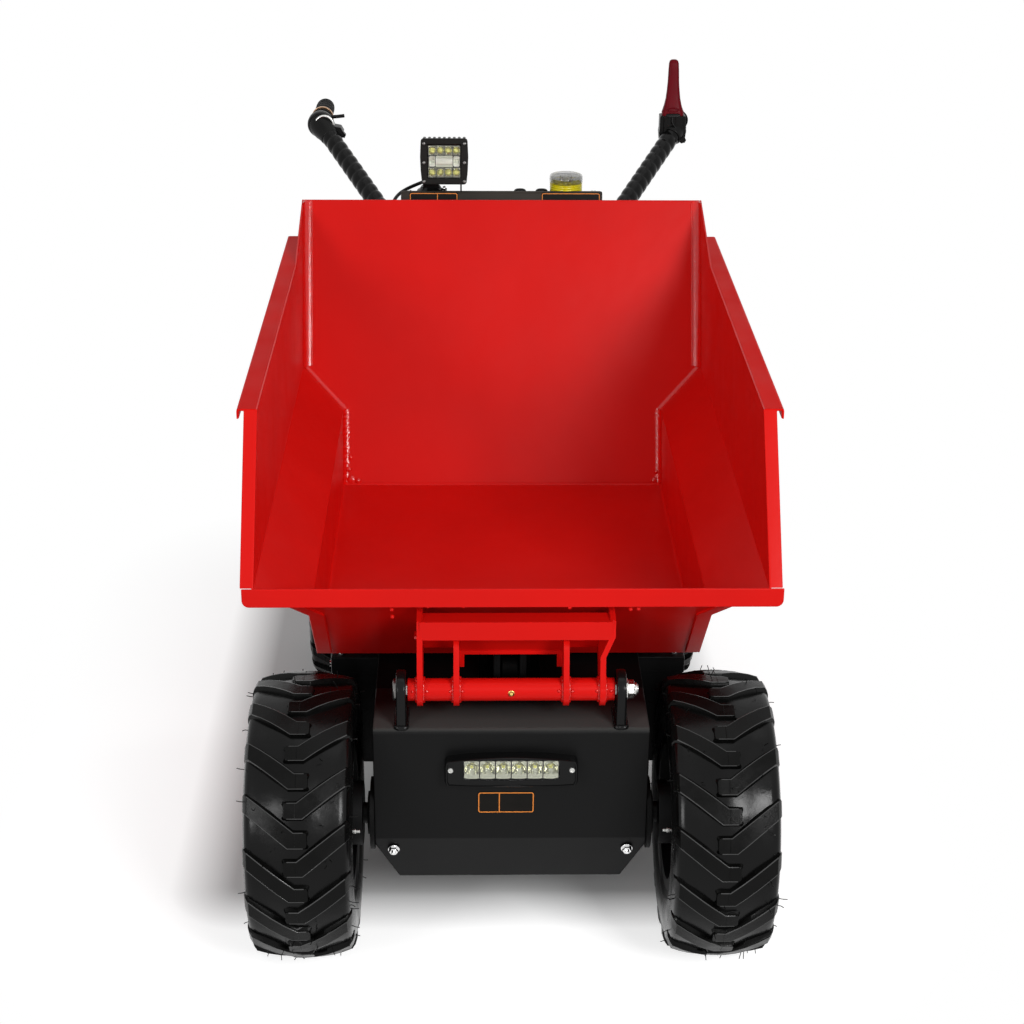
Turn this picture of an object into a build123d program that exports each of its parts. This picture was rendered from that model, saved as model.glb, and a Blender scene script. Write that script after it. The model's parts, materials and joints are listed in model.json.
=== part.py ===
"""Walk-behind electric dump cart: a tipping bucket on a driven front axle and rear casters.

Millimetres. X runs across the cart, -Y is the front, +Y is the operator's end, Z is up.
Every place named *_BACK, and the first number of every (back, up) pair, is measured
back from the front axle. Left and right are the operator's, who faces -Y.
"""
import os
from collections import namedtuple
from math import atan2, cos, hypot, pi, radians, sin, tan

from build123d import *

os.makedirs("parts", exist_ok=True)

# ---------------------------------------------------------------- driving sizes

SIDES = (("right", -1), ("left", 1))
SHEET = 3                     # bucket and cover sheet
FIT = 0.05                    # radial clearance of a shaft in its bore
GAP = 0.3                     # clearance between seated pieces
CLEAR = 7                     # gap between pieces that move past each other

# Wheels: overall radius, section width, flat of the tread, bead seat radius
Tyre = namedtuple("Tyre", "radius width tread bead")
FRONT_TYRE = Tyre(radius=205, width=150, tread=134, bead=102)
REAR_TYRE = Tyre(radius=165, width=112, tread=92, bead=76)
FRONT_WHEEL_X = 294
REAR_WHEEL_X = 284
REAR_AXLE_BACK = 832
RIM_FLANGE = 11               # height of the rim flange over the bead seat
RIM_WALL = 5
DISC_OFFSET = 4               # the disc's inner face from the wheel's middle
DISC_THICK = 6
BEAD_INSET = 4                # each bead seat's end inside the edge of the tread
SHOULDER_DROP = 9
FRONT_HUB_OUTER = 30          # the hub's outer end from the wheel's middle

HANDLE_REACH = 1425           # front axle to the rear tip of the grips
FRONT_AXLE_Y = -(HANDLE_REACH - FRONT_TYRE.radius) / 2

# Bucket, inside faces
FLOOR_HALF = 284
BUCKET_HALF = 355
FLOOR_UP = 371
KNEE_UP = 495                 # where the side wall starts to lean out
LIP_UP = 565                  # top of the lip and of the leaning part
RIM_UP = 772
BACK_TOP_UP = 835
LIP_BACK = 0
RAMP_FOOT_BACK = 184
RIM_FRONT_BACK = 148
CHEEK_BACK = 835              # where the side wall starts to rise to the back corner
WALL_FOOT_BACK = 820
WALL_TOP_BACK = 1030
RIM_WIDTH = 29
RIM_DROP = 14
RIM_REAR_BACK = 1015
EDGE_BAND = 19                # flange down each front edge of the sides
LIP_DROP = 28                 # height of the band across the lip

# Bucket hinge
PIVOT_UP = 407
PIVOT_TUBE_RADIUS = 16
PIVOT_TUBE_HALF = 146
PIVOT_BOLT_RADIUS = 10
LUG_THICK = 14
LUG_RADIUS = 28
LUG_GAP = 1.5
ARM_THICK = 8
OUTER_ARM_X = 128
BENT_ARM_SHIFT = 13           # the left outer arm's head steps out by this
BENT_ARM_UP = (462, 490)
INNER_ARM_X = 77
ARM_RING_RADIUS = 23
CHANNEL_UP = (486, 514)
CHANNEL_DEPTH = 30

# Lift cylinder: (back, up) of its two pins at rest
BASE_PIN = (400, 120)
ROD_PIN = (110, 385)
BARREL_RADIUS = 26
BARREL_LENGTH = 250
ROD_RADIUS = 11
ROD_IN_BARREL = 190
PIN_RADIUS = 10
EYE_RADIUS = 18
EYE_WIDTH = 24
ROD_EYE_RADIUS = 16
ROD_EYE_BORE = 8
CYLINDER_EAR = 10             # thickness of the ears at both ends

# Front cover
COVER_HALF = 195
COVER_FACE_BACK = -33
COVER_TOP_UP = 360
COVER_REAR_BACK = 90
TOP_PLATE_REAR_BACK = 205
TOP_PLATE_SLOT = 45           # half the slot that the lift cylinder passes through
COVER_FOLD_UP = 182
COVER_HEM = (-8, 101)
COVER_HEM_HALF = 160
COVER_BEND = 8

# Frame
SIDE_PLATE = 5
SIDE_PLATE_FOOT_UP = 172
SIDE_PLATE_REAR_BACK = 210
FRAME_TOP_UP = 345
RAIL_X = (66, 106)
RAIL_DEPTH = 60
RAIL_REAR_BACK = 655
FRONT_BAR_SIZE = 40
LOWER_BAR = ((185, 210), (190, 235))
BASE_BAR_BACK = (422, 462)
REAR_BAR_DEPTH = 40
DECK_THICK = 6
DECK_HALF = 120
DECK_FRONT_BACK = 600
SPINE_HALF = 22
SPINE_DEPTH = 90
BEAM_HALF = 330
BEAM_BACK = (860, 922)
BEAM_UP = (366, 416)

# Drive and batteries
AXLE_TUBE_RADIUS = 28
AXLE_COLLAR_RADIUS = 31
AXLE_TUBE_END_X = 205
AXLE_FLANGE = 6               # its thickness
AXLE_FLANGE_RADIUS = 52
DRIVE_SHAFT_RADIUS = 15
DRIVE_SHAFT_END_X = 100
SHAFT_SPARE = 8               # bore past the shaft's inner end
GEARBOX_HALF = 62
GEARBOX_BACK = (-14, 90)
GEARBOX_UP = (150, 282)
MOTOR_RADIUS = 58
MOTOR_LENGTH = 88
MOTOR_UP = 165
FRONT_HUB_RADIUS = 46
REAR_HUB_RADIUS = 30
BATTERY_X = (110, 268)
BATTERY_BACK = (224, 640)
BATTERY_UP = (155, 338)
CONTROLLER_HALF = 104
CONTROLLER_BACK = (478, 650)
CONTROLLER_FOOT_UP = 100

# Rear casters
SWIVEL_BACK = 890
STEM_RADIUS = 15
STEM_NUT_RADIUS = 23
STEM_NUT = 16
STEM_WASHER = 2               # under the nut
BEARING_GAP = 3               # crown to bearing
CROWN_UP = (341, 349)
CROWN_LENGTH = 84
BEARING_RADIUS = 42
FORK_GAP = 5                  # tyre to fork leg
FORK_LEG = 6
FORK_FOOT_RADIUS = 24
REAR_AXLE_RADIUS = 10

# Operator end
COLUMN_HALF = 75
COLUMN_DEPTH = 46
CONSOLE_HALF = 183
CONSOLE_FRONT_TOP = (1081, 836)
CONSOLE_REAR_TOP = (1236, 768)
CONSOLE_REAR_FOOT = (1222, 690)
CONSOLE_FRONT_FOOT = (1040, 690)
HANDLE_TUBE_RADIUS = 12.5
GRIP_RUN = 115                # bend to the rear tip of the grip
SLEEVE_RADIUS = 17
GRIP_RADIUS = 17
GRIP_LENGTH = 88
GRIP_EDGE = 1.1               # how far a tilted grip's end edge passes its centre
HANDLE_BEND = 17
HANDLE_POINTS = (             # x, back, up of one handlebar's centre line
    (CONSOLE_HALF, 1111, 776),
    (207, 1111, 776),
    (341, HANDLE_REACH - GRIP_RUN, 908),
    (339, HANDLE_REACH - GRIP_EDGE, 915),
)

# Lights
LIGHT_BAR_UP = 301
LIGHT_BAR_SIZE = (188, 48)
LIGHT_BAR_DEPTH = 18
LIGHT_LENS_SIZE = (136, 32)
LIGHT_LENS_LIFT = 3           # its middle above the housing's
LAMP_X = -104
LAMP_UP = 893
LAMP_FACE_BACK = 1078
LAMP_SIZE = (87, 52, 82)
LAMP_TILT = 10                # degrees that its face looks up
LAMP_WINDOW = 59
BEACON_PLACE = (118, 1113)    # x, back
BEACON_RADIUS = 30
BEACON_SPLIT_UP = 845
BEACON_TOP_UP = 861
LEAD_RADIUS = 3.2

# ---------------------------------------------------------------- worked-out places

RAMP_SLOPE = (LIP_UP - FLOOR_UP) / (RAMP_FOOT_BACK - LIP_BACK)
WALL_SLOPE = (WALL_TOP_BACK - WALL_FOOT_BACK) / (BACK_TOP_UP - FLOOR_UP)
CONSOLE_SLOPE = ((CONSOLE_FRONT_TOP[1] - CONSOLE_REAR_TOP[1])
                 / (CONSOLE_REAR_TOP[0] - CONSOLE_FRONT_TOP[0]))
UNDERSIDE_UP = FLOOR_UP - SHEET
LUG_INNER_X = PIVOT_TUBE_HALF + LUG_GAP


def y_at(back):
    """The frame's Y of a place measured back from the front axle."""
    return FRONT_AXLE_Y + back


def ramp_under_up(back):
    """Height of the ramp's underside."""
    return FLOOR_UP + (RAMP_FOOT_BACK - back) * RAMP_SLOPE - SHEET * hypot(1, RAMP_SLOPE)


def ramp_under_back(up):
    """Where the ramp's underside reaches a height."""
    return RAMP_FOOT_BACK - (up - FLOOR_UP + SHEET * hypot(1, RAMP_SLOPE)) / RAMP_SLOPE


def wall_back(up, outside=0):
    """Where the back wall's inner face, or a face that far outside it, reaches a height."""
    return WALL_FOOT_BACK + (up - FLOOR_UP) * WALL_SLOPE + outside * hypot(1, WALL_SLOPE)


def console_top_up(back):
    """Height of the console's sloping top."""
    return CONSOLE_FRONT_TOP[1] - (back - CONSOLE_FRONT_TOP[0]) * CONSOLE_SLOPE


def side_plane(x):
    """Plane of (back, up) outlines, facing +X."""
    return Plane(origin=(x, FRONT_AXLE_Y, 0), x_dir=(0, 1, 0), z_dir=(1, 0, 0))


def front_plane(back):
    """Plane of (x, up) outlines, facing the front."""
    return Plane(origin=(0, y_at(back), 0), x_dir=(1, 0, 0), z_dir=(0, -1, 0))


# ---------------------------------------------------------------- shape helpers


def block(x, back, up, mode=Mode.ADD):
    """A box between the low and high x, back and up."""
    middle = ((x[0] + x[1]) / 2, y_at((back[0] + back[1]) / 2), (up[0] + up[1]) / 2)
    with Locations(middle):
        Box(x[1] - x[0], back[1] - back[0], up[1] - up[0], mode=mode)


def side_plate(points, x, mode=Mode.ADD):
    """An outline of (back, up) points, solid between the low and high x."""
    with BuildSketch(side_plane(x[0])) as outline:
        with BuildLine():
            Polyline(*points, close=True)
        make_face()
    extrude(outline.sketch, amount=x[1] - x[0], mode=mode)


def front_plate(points, back, mode=Mode.ADD):
    """An outline of (x, up) points, solid between the low and high back."""
    with BuildSketch(front_plane(back[1])) as outline:
        with BuildLine():
            Polyline(*points, close=True)
        make_face()
    extrude(outline.sketch, amount=back[1] - back[0], mode=mode)


def cross_bar(x, place, radius, mode=Mode.ADD):
    """A round bar or bore along X between the low and high x, at a (back, up) place."""
    with BuildSketch(side_plane(x[0])) as section:
        with Locations(place):
            Circle(radius)
    extrude(section.sketch, amount=x[1] - x[0], mode=mode)


def upright(place, up, radius, mode=Mode.ADD):
    """A round post or bore along Z at an (x, back) place between the low and high up."""
    with BuildSketch(Plane.XY.offset(up[0])) as section:
        with Locations((place[0], y_at(place[1]))):
            Circle(radius)
    extrude(section.sketch, amount=up[1] - up[0], mode=mode)


def mirrored(low, high, side):
    """The x range low..high on one side of the cart, in rising order."""
    return (low, high) if side > 0 else (-high, -low)


def save(piece, label):
    """Name a finished sub-part and write its STEP file."""
    piece.part.label = label
    export_step(piece.part, f"parts/{label}.step")


# ---------------------------------------------------------------- wheels


def make_tyre(label, x, place, size):
    """A tyre of revolution about the axle through x and a (back, up) place."""
    middle = Plane(origin=(x, y_at(place[0]), place[1]), x_dir=(1, 0, 0), z_dir=(0, -1, 0))
    bead_half = size.tread / 2 - BEAD_INSET
    flange_top = size.bead + RIM_FLANGE
    shoulder = size.radius - SHOULDER_DROP
    widest = (size.bead + size.radius) / 2
    with BuildPart() as tyre:
        with BuildSketch(middle):
            with BuildLine():
                Line((-bead_half, flange_top), (-bead_half, size.bead))
                Line((-bead_half, size.bead), (bead_half, size.bead))
                Line((bead_half, size.bead), (bead_half, flange_top))
                ThreePointArc((bead_half, flange_top), (size.width / 2, widest),
                              (size.tread / 2, shoulder))
                ThreePointArc((size.tread / 2, shoulder), (0, size.radius),
                              (-size.tread / 2, shoulder))
                ThreePointArc((-size.tread / 2, shoulder), (-size.width / 2, widest),
                              (-bead_half, flange_top))
            make_face()
        revolve(axis=Axis((x, y_at(place[0]), place[1]), (1, 0, 0)))
    save(tyre, label)


def make_rim(label, x, side, place, size, hub, hub_radius, bore=0, shaft=None):
    """A disc wheel: flanged barrel, flat disc and hub, with a bore or a drive shaft."""
    bead_half = size.tread / 2 - BEAD_INSET
    flange_half = bead_half + RIM_WALL
    disc = mirrored(DISC_OFFSET, DISC_OFFSET + DISC_THICK, side)
    with BuildPart() as rim:
        cross_bar((x - flange_half, x + flange_half), place, size.bead + RIM_FLANGE)
        for end in (-1, 1):
            step = sorted((x + end * bead_half, x - end * GAP))
            with BuildSketch(side_plane(step[0])) as waist:
                with Locations(place):
                    Circle(size.bead + RIM_FLANGE + 1)
                    Circle(size.bead, mode=Mode.SUBTRACT)
            extrude(waist.sketch, amount=step[1] - step[0], mode=Mode.SUBTRACT)
        inside = size.bead - RIM_WALL
        cross_bar((x - flange_half, x + disc[0]), place, inside, mode=Mode.SUBTRACT)
        cross_bar((x + disc[1], x + flange_half), place, inside, mode=Mode.SUBTRACT)
        cross_bar((x + hub[0], x + hub[1]), place, hub_radius)
        if bore:
            cross_bar((x + hub[0], x + hub[1]), place, bore, mode=Mode.SUBTRACT)
        if shaft:
            cross_bar(shaft, place, DRIVE_SHAFT_RADIUS)
    save(rim, label)


FRONT_AXLE = (0, FRONT_TYRE.radius)
REAR_AXLE = (REAR_AXLE_BACK, REAR_TYRE.radius)
FRONT_HUB_INNER_X = AXLE_TUBE_END_X + CLEAR
REAR_HUB_HALF = REAR_TYRE.width / 2

for name, side in SIDES:
    front_x = side * FRONT_WHEEL_X
    hub = mirrored(FRONT_HUB_INNER_X - FRONT_WHEEL_X, FRONT_HUB_OUTER, side)
    shaft = mirrored(DRIVE_SHAFT_END_X, FRONT_HUB_INNER_X, side)
    make_tyre(f"front_tyre_{name}", front_x, FRONT_AXLE, FRONT_TYRE)
    make_rim(f"front_rim_{name}", front_x, side, FRONT_AXLE, FRONT_TYRE, hub,
             FRONT_HUB_RADIUS, shaft=shaft)
    rear_x = side * REAR_WHEEL_X
    rear_hub = (-REAR_HUB_HALF, REAR_HUB_HALF)
    make_tyre(f"rear_tyre_{name}", rear_x, REAR_AXLE, REAR_TYRE)
    make_rim(f"rear_rim_{name}", rear_x, side, REAR_AXLE, REAR_TYRE, rear_hub,
             REAR_HUB_RADIUS, bore=REAR_AXLE_RADIUS + FIT)

# ---------------------------------------------------------------- caster forks

LEG_INNER = REAR_TYRE.width / 2 + FORK_GAP
LEG_OUTER = LEG_INNER + FORK_LEG
CROWN_BACK = (SWIVEL_BACK - CROWN_LENGTH / 2, SWIVEL_BACK + CROWN_LENGTH / 2)
STEM_NUT_UP = (BEAM_UP[1] + STEM_WASHER, BEAM_UP[1] + STEM_WASHER + STEM_NUT)
LEG_POINTS = (
    (CROWN_BACK[0], CROWN_UP[1]),
    (CROWN_BACK[1], CROWN_UP[1]),
    (REAR_AXLE[0] + FORK_FOOT_RADIUS, REAR_AXLE[1]),
    (REAR_AXLE[0] - FORK_FOOT_RADIUS, REAR_AXLE[1]),
)

for name, side in SIDES:
    x = side * REAR_WHEEL_X
    swivel = (x, SWIVEL_BACK)
    with BuildPart() as fork:
        block((x - LEG_OUTER, x + LEG_OUTER), CROWN_BACK, CROWN_UP)
        for leg in ((x - LEG_OUTER, x - LEG_INNER), (x + LEG_INNER, x + LEG_OUTER)):
            side_plate(LEG_POINTS, leg)
            cross_bar(leg, REAR_AXLE, FORK_FOOT_RADIUS)
        cross_bar((x - LEG_OUTER, x + LEG_OUTER), REAR_AXLE, REAR_AXLE_RADIUS)
        upright(swivel, (CROWN_UP[1], STEM_NUT_UP[1]), STEM_RADIUS)
        upright(swivel, STEM_NUT_UP, STEM_NUT_RADIUS)
    save(fork, f"caster_fork_{name}")

# ---------------------------------------------------------------- bucket

HALF_SECTION = [              # (x, up) of the inside of one side, floor to rim
    (FLOOR_HALF, UNDERSIDE_UP),
    (FLOOR_HALF, KNEE_UP),
    (BUCKET_HALF, LIP_UP),
    (BUCKET_HALF, BACK_TOP_UP),
]
WHOLE_SECTION = HALF_SECTION + [(-x, up) for x, up in reversed(HALF_SECTION)]
BUCKET_REACH = (-60, WALL_TOP_BACK + 60)     # past both ends of the bucket

with BuildPart() as bucket_floor:
    side_plate(
        (
            (LIP_BACK, LIP_UP),
            (RAMP_FOOT_BACK, FLOOR_UP),
            (wall_back(FLOOR_UP), FLOOR_UP),
            (wall_back(UNDERSIDE_UP), UNDERSIDE_UP),
            (ramp_under_back(UNDERSIDE_UP), UNDERSIDE_UP),
            (LIP_BACK, ramp_under_up(LIP_BACK)),
        ),
        (-BUCKET_HALF, BUCKET_HALF),
    )
    front_plate(WHOLE_SECTION, BUCKET_REACH, mode=Mode.INTERSECT)
save(bucket_floor, "bucket_floor")

with BuildPart() as bucket_back:
    side_plate(
        (
            (wall_back(UNDERSIDE_UP), UNDERSIDE_UP),
            (wall_back(UNDERSIDE_UP, SHEET), UNDERSIDE_UP),
            (wall_back(BACK_TOP_UP, SHEET), BACK_TOP_UP),
            (wall_back(BACK_TOP_UP), BACK_TOP_UP),
        ),
        (-BUCKET_HALF, BUCKET_HALF),
    )
    front_plate(WHOLE_SECTION, BUCKET_REACH, mode=Mode.INTERSECT)
save(bucket_back, "bucket_back")

SIDE_OUTLINE = (
    (ramp_under_back(UNDERSIDE_UP), UNDERSIDE_UP),
    (wall_back(UNDERSIDE_UP, SHEET), UNDERSIDE_UP),
    (wall_back(BACK_TOP_UP, SHEET), BACK_TOP_UP),
    (WALL_TOP_BACK, BACK_TOP_UP),
    (CHEEK_BACK, RIM_UP),
    (RIM_FRONT_BACK, RIM_UP),
    (LIP_BACK, LIP_UP),
    (LIP_BACK, ramp_under_up(LIP_BACK)),
)
EDGE_LEAN = (RIM_FRONT_BACK - LIP_BACK) / (RIM_UP - LIP_UP)
BAND_BACK = SHEET * hypot(1, EDGE_LEAN)
KNEE_SHIFT = SHEET * tan(atan2(BUCKET_HALF - FLOOR_HALF, LIP_UP - KNEE_UP) / 2)
RIM_OUTER_X = BUCKET_HALF + RIM_WIDTH

for name, side in SIDES:
    outer_section = (
        (FLOOR_HALF + SHEET, UNDERSIDE_UP),
        (FLOOR_HALF, UNDERSIDE_UP),
        (FLOOR_HALF, KNEE_UP),
        (BUCKET_HALF, LIP_UP),
        (BUCKET_HALF, BACK_TOP_UP),
        (BUCKET_HALF + SHEET, BACK_TOP_UP),
        (BUCKET_HALF + SHEET, LIP_UP - KNEE_SHIFT),
        (FLOOR_HALF + SHEET, KNEE_UP - KNEE_SHIFT),
    )
    with BuildPart() as bucket_side:
        front_plate([(side * x, up) for x, up in outer_section], BUCKET_REACH)
        side_plate(SIDE_OUTLINE, mirrored(FLOOR_HALF, BUCKET_HALF + SHEET, side),
                   mode=Mode.INTERSECT)
        rim_up = (RIM_UP - SHEET, RIM_UP)
        block(mirrored(BUCKET_HALF + 1, RIM_OUTER_X, side),
              (RIM_FRONT_BACK, RIM_REAR_BACK), rim_up)
        block(mirrored(RIM_OUTER_X - SHEET, RIM_OUTER_X, side),
              (RIM_FRONT_BACK, RIM_REAR_BACK), (RIM_UP - RIM_DROP, RIM_UP))
        side_plate(
            (
                (LIP_BACK, LIP_UP),
                (LIP_BACK + BAND_BACK, LIP_UP),
                (RIM_FRONT_BACK + BAND_BACK, RIM_UP),
                (RIM_FRONT_BACK, RIM_UP),
            ),
            mirrored(BUCKET_HALF, BUCKET_HALF + EDGE_BAND, side),
        )
    save(bucket_side, f"bucket_side_{name}")

LIP_HALF = BUCKET_HALF + EDGE_BAND
with BuildPart() as bucket_lip:
    block((-LIP_HALF, LIP_HALF), (LIP_BACK - SHEET, LIP_BACK), (LIP_UP - LIP_DROP, LIP_UP))
save(bucket_lip, "bucket_lip")

# ---------------------------------------------------------------- bucket hinge

PIVOT = (0, PIVOT_UP)
TUBE_X = (-PIVOT_TUBE_HALF, PIVOT_TUBE_HALF)
CHANNEL_BACK = (-SHEET, CHANNEL_DEPTH - SHEET)
ARM_REAR_BACK = 90
INNER_ARM_TOP_UP = 479
STIFFENER_BACK = (48, 54)
STIFFENER_UP = (417, 443)
STIFFENER_WINDOW_UP = 437
STIFFENER_LEG = 7

with BuildPart() as pivot_tube:
    cross_bar(TUBE_X, PIVOT, PIVOT_TUBE_RADIUS)
    cross_bar(TUBE_X, PIVOT, PIVOT_BOLT_RADIUS + FIT, mode=Mode.SUBTRACT)
save(pivot_tube, "pivot_tube")

OUTER_ARM = (
    (-21, PIVOT_UP + 6),
    (-4, CHANNEL_UP[0]),
    (LIP_BACK, CHANNEL_UP[1]),
    (ramp_under_back(CHANNEL_UP[1] + 8), CHANNEL_UP[1] + 8),
    (ARM_REAR_BACK, ramp_under_up(ARM_REAR_BACK)),
    (22, PIVOT_UP - 4),
)
INNER_ARM = (
    (-21, PIVOT_UP + 6),
    (-5, INNER_ARM_TOP_UP - 8),
    (3, INNER_ARM_TOP_UP),
    (16, CHANNEL_UP[0]),
    (CHANNEL_BACK[1], CHANNEL_UP[0]),
    (ramp_under_back(CHANNEL_UP[0]), CHANNEL_UP[0]),
    (ARM_REAR_BACK, ramp_under_up(ARM_REAR_BACK)),
    (22, PIVOT_UP - 4),
)

BENT_LINE = (                 # x, up of the left outer arm's middle
    (OUTER_ARM_X, PIVOT_UP - 2 * ARM_RING_RADIUS),
    (OUTER_ARM_X, BENT_ARM_UP[0]),
    (OUTER_ARM_X + BENT_ARM_SHIFT, BENT_ARM_UP[1]),
    (OUTER_ARM_X + BENT_ARM_SHIFT, LIP_UP),
)
with BuildPart() as bent_arm:
    half = ARM_THICK / 2
    inner_line = [(x - half, up) for x, up in BENT_LINE]
    outer_line = [(x + half, up) for x, up in BENT_LINE]
    front_plate(inner_line + outer_line[::-1], (OUTER_ARM[0][0], ARM_REAR_BACK))
    side_plate(OUTER_ARM, (0, BUCKET_HALF), mode=Mode.INTERSECT)

with BuildPart() as hinge_bracket:
    add(bent_arm.part)
    plates = (
        (-OUTER_ARM_X, OUTER_ARM),
        (-INNER_ARM_X, INNER_ARM),
        (INNER_ARM_X, INNER_ARM),
    )
    for middle, outline in plates:
        side_plate(outline, (middle - ARM_THICK / 2, middle + ARM_THICK / 2))
    for middle in (-OUTER_ARM_X, -INNER_ARM_X, INNER_ARM_X, OUTER_ARM_X):
        cross_bar((middle - ARM_THICK / 2, middle + ARM_THICK / 2), PIVOT, ARM_RING_RADIUS)
    block((-OUTER_ARM_X, OUTER_ARM_X + BENT_ARM_SHIFT), CHANNEL_BACK, CHANNEL_UP)
    block((-INNER_ARM_X, INNER_ARM_X), STIFFENER_BACK, STIFFENER_UP)
    window_half = INNER_ARM_X - ARM_THICK / 2 - STIFFENER_LEG
    block((-window_half, window_half), STIFFENER_BACK,
          (STIFFENER_UP[0], STIFFENER_WINDOW_UP), mode=Mode.SUBTRACT)
    cross_bar(TUBE_X, PIVOT, PIVOT_TUBE_RADIUS, mode=Mode.SUBTRACT)
save(hinge_bracket, "hinge_bracket")

LUG_OUTER_X = LUG_INNER_X + LUG_THICK
with BuildPart() as pivot_lugs:
    for name, side in SIDES:
        lug = mirrored(LUG_INNER_X, LUG_OUTER_X, side)
        block(lug, (-LUG_RADIUS, LUG_RADIUS), (COVER_TOP_UP, PIVOT_UP))
        cross_bar(lug, PIVOT, LUG_RADIUS)
        cross_bar(lug, PIVOT, PIVOT_BOLT_RADIUS + GAP, mode=Mode.SUBTRACT)
save(pivot_lugs, "pivot_lugs")

BOLT_HEAD = 10
BOLT_NUT = 18
BOLT_TIP = 4                  # thread past the nut
BOLT_HEAD_RADIUS = 16
WASHER = 3
WASHER_RADIUS = 21
with BuildPart() as pivot_bolt:
    cross_bar((-LUG_OUTER_X - BOLT_HEAD, LUG_OUTER_X + WASHER + BOLT_NUT), PIVOT,
              PIVOT_BOLT_RADIUS)
    ends = (
        ((-LUG_OUTER_X - BOLT_HEAD, -LUG_OUTER_X), BOLT_HEAD_RADIUS),
        ((LUG_OUTER_X, LUG_OUTER_X + WASHER), WASHER_RADIUS),
    )
    for x, radius in ends:
        cross_bar(x, PIVOT, radius)
    with BuildSketch(side_plane(LUG_OUTER_X + WASHER)) as nut:
        with Locations(PIVOT):
            RegularPolygon(BOLT_HEAD_RADIUS, 6)
    extrude(nut.sketch, amount=BOLT_NUT - BOLT_TIP)
save(pivot_bolt, "pivot_bolt")

# ---------------------------------------------------------------- lift cylinder

LIFT_LENGTH = hypot(ROD_PIN[0] - BASE_PIN[0], ROD_PIN[1] - BASE_PIN[1])
LIFT_X = (ROD_PIN[0] - BASE_PIN[0]) / LIFT_LENGTH
LIFT_UP = (ROD_PIN[1] - BASE_PIN[1]) / LIFT_LENGTH
EAR_INNER = EYE_WIDTH / 2 + 2


def lift_plane(distance):
    """Plane across the cylinder, that far from its base pin, facing the rod's eye."""
    origin = (0, y_at(BASE_PIN[0] + LIFT_X * distance), BASE_PIN[1] + LIFT_UP * distance)
    return Plane(origin=origin, x_dir=(1, 0, 0), z_dir=(0, LIFT_X, LIFT_UP))


def lift_bar(start, end, radius, mode=Mode.ADD):
    """A round bar or bore along the cylinder between two distances from its base pin."""
    with BuildSketch(lift_plane(start)) as section:
        Circle(radius)
    extrude(section.sketch, amount=end - start, mode=mode)


EYE_X = (-EYE_WIDTH / 2, EYE_WIDTH / 2)
BARREL_START = 30
BORE_SPARE = 5                # bore past the rod's inner end
ROD_START = BARREL_START + BARREL_LENGTH - ROD_IN_BARREL

with BuildPart() as lift_barrel:
    cross_bar(EYE_X, BASE_PIN, EYE_RADIUS)
    lift_bar(0, BARREL_START, ROD_RADIUS)
    lift_bar(BARREL_START, BARREL_START + BARREL_LENGTH, BARREL_RADIUS)
    lift_bar(ROD_START - BORE_SPARE, BARREL_START + BARREL_LENGTH, ROD_RADIUS + FIT,
             mode=Mode.SUBTRACT)
    cross_bar(EYE_X, BASE_PIN, PIN_RADIUS + FIT, mode=Mode.SUBTRACT)
save(lift_barrel, "lift_barrel")

with BuildPart() as lift_rod:
    lift_bar(ROD_START, LIFT_LENGTH, ROD_RADIUS)
    cross_bar(EYE_X, ROD_PIN, ROD_EYE_RADIUS)
    cross_bar(EYE_X, ROD_PIN, ROD_EYE_BORE, mode=Mode.SUBTRACT)
save(lift_rod, "lift_rod")

EAR_HALF = 20
with BuildPart() as lift_lug:
    for name, side in SIDES:
        ear = mirrored(EAR_INNER, EAR_INNER + CYLINDER_EAR, side)
        cross_bar(ear, ROD_PIN, EAR_HALF)
        side_plate(
            (
                (ROD_PIN[0] - EAR_HALF, ROD_PIN[1]),
                (ROD_PIN[0] - EAR_HALF, ramp_under_up(ROD_PIN[0] - EAR_HALF)),
                (ROD_PIN[0] + EAR_HALF, ramp_under_up(ROD_PIN[0] + EAR_HALF)),
                (ROD_PIN[0] + EAR_HALF, ROD_PIN[1]),
            ),
            ear,
        )
        cross_bar(ear, ROD_PIN, ROD_EYE_BORE, mode=Mode.SUBTRACT)
save(lift_lug, "lift_lug")

# ---------------------------------------------------------------- frame

RAIL_UP = (FRAME_TOP_UP - RAIL_DEPTH, FRAME_TOP_UP)
PLATE_X = (COVER_HALF - SIDE_PLATE, COVER_HALF)
PLATE_INNER = (-PLATE_X[0], PLATE_X[0])
PLATE_FRONT_BACK = COVER_FACE_BACK + COVER_BEND
PLATE_TOP_UP = COVER_TOP_UP - SHEET
FRONT_BAR = ((PLATE_FRONT_BACK, PLATE_FRONT_BACK + FRONT_BAR_SIZE),
             (PLATE_TOP_UP - FRONT_BAR_SIZE, PLATE_TOP_UP))
BRACKET_INNER = BARREL_RADIUS + 4
BRACKET_EAR = (BRACKET_INNER, BRACKET_INNER + CYLINDER_EAR)
BRACKET_LAP = 10              # the bracket's head over the bar's side
BRACKET_WAIST_UP = 220
BRACKET_FOOT = 24             # half the foot, about the pin
BRACKET_POINTS = (
    (BASE_BAR_BACK[0], RAIL_UP[0] + BRACKET_LAP),
    (BASE_BAR_BACK[1], RAIL_UP[0] + BRACKET_LAP),
    (BASE_BAR_BACK[1], BRACKET_WAIST_UP),
    (BASE_PIN[0] + BRACKET_FOOT, BASE_PIN[1] - BRACKET_FOOT),
    (BASE_PIN[0] - BRACKET_FOOT, BASE_PIN[1] - BRACKET_FOOT),
    (BASE_PIN[0] - BRACKET_FOOT, BASE_PIN[1] + BRACKET_FOOT),
    (BASE_BAR_BACK[0], BRACKET_WAIST_UP),
)

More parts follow.
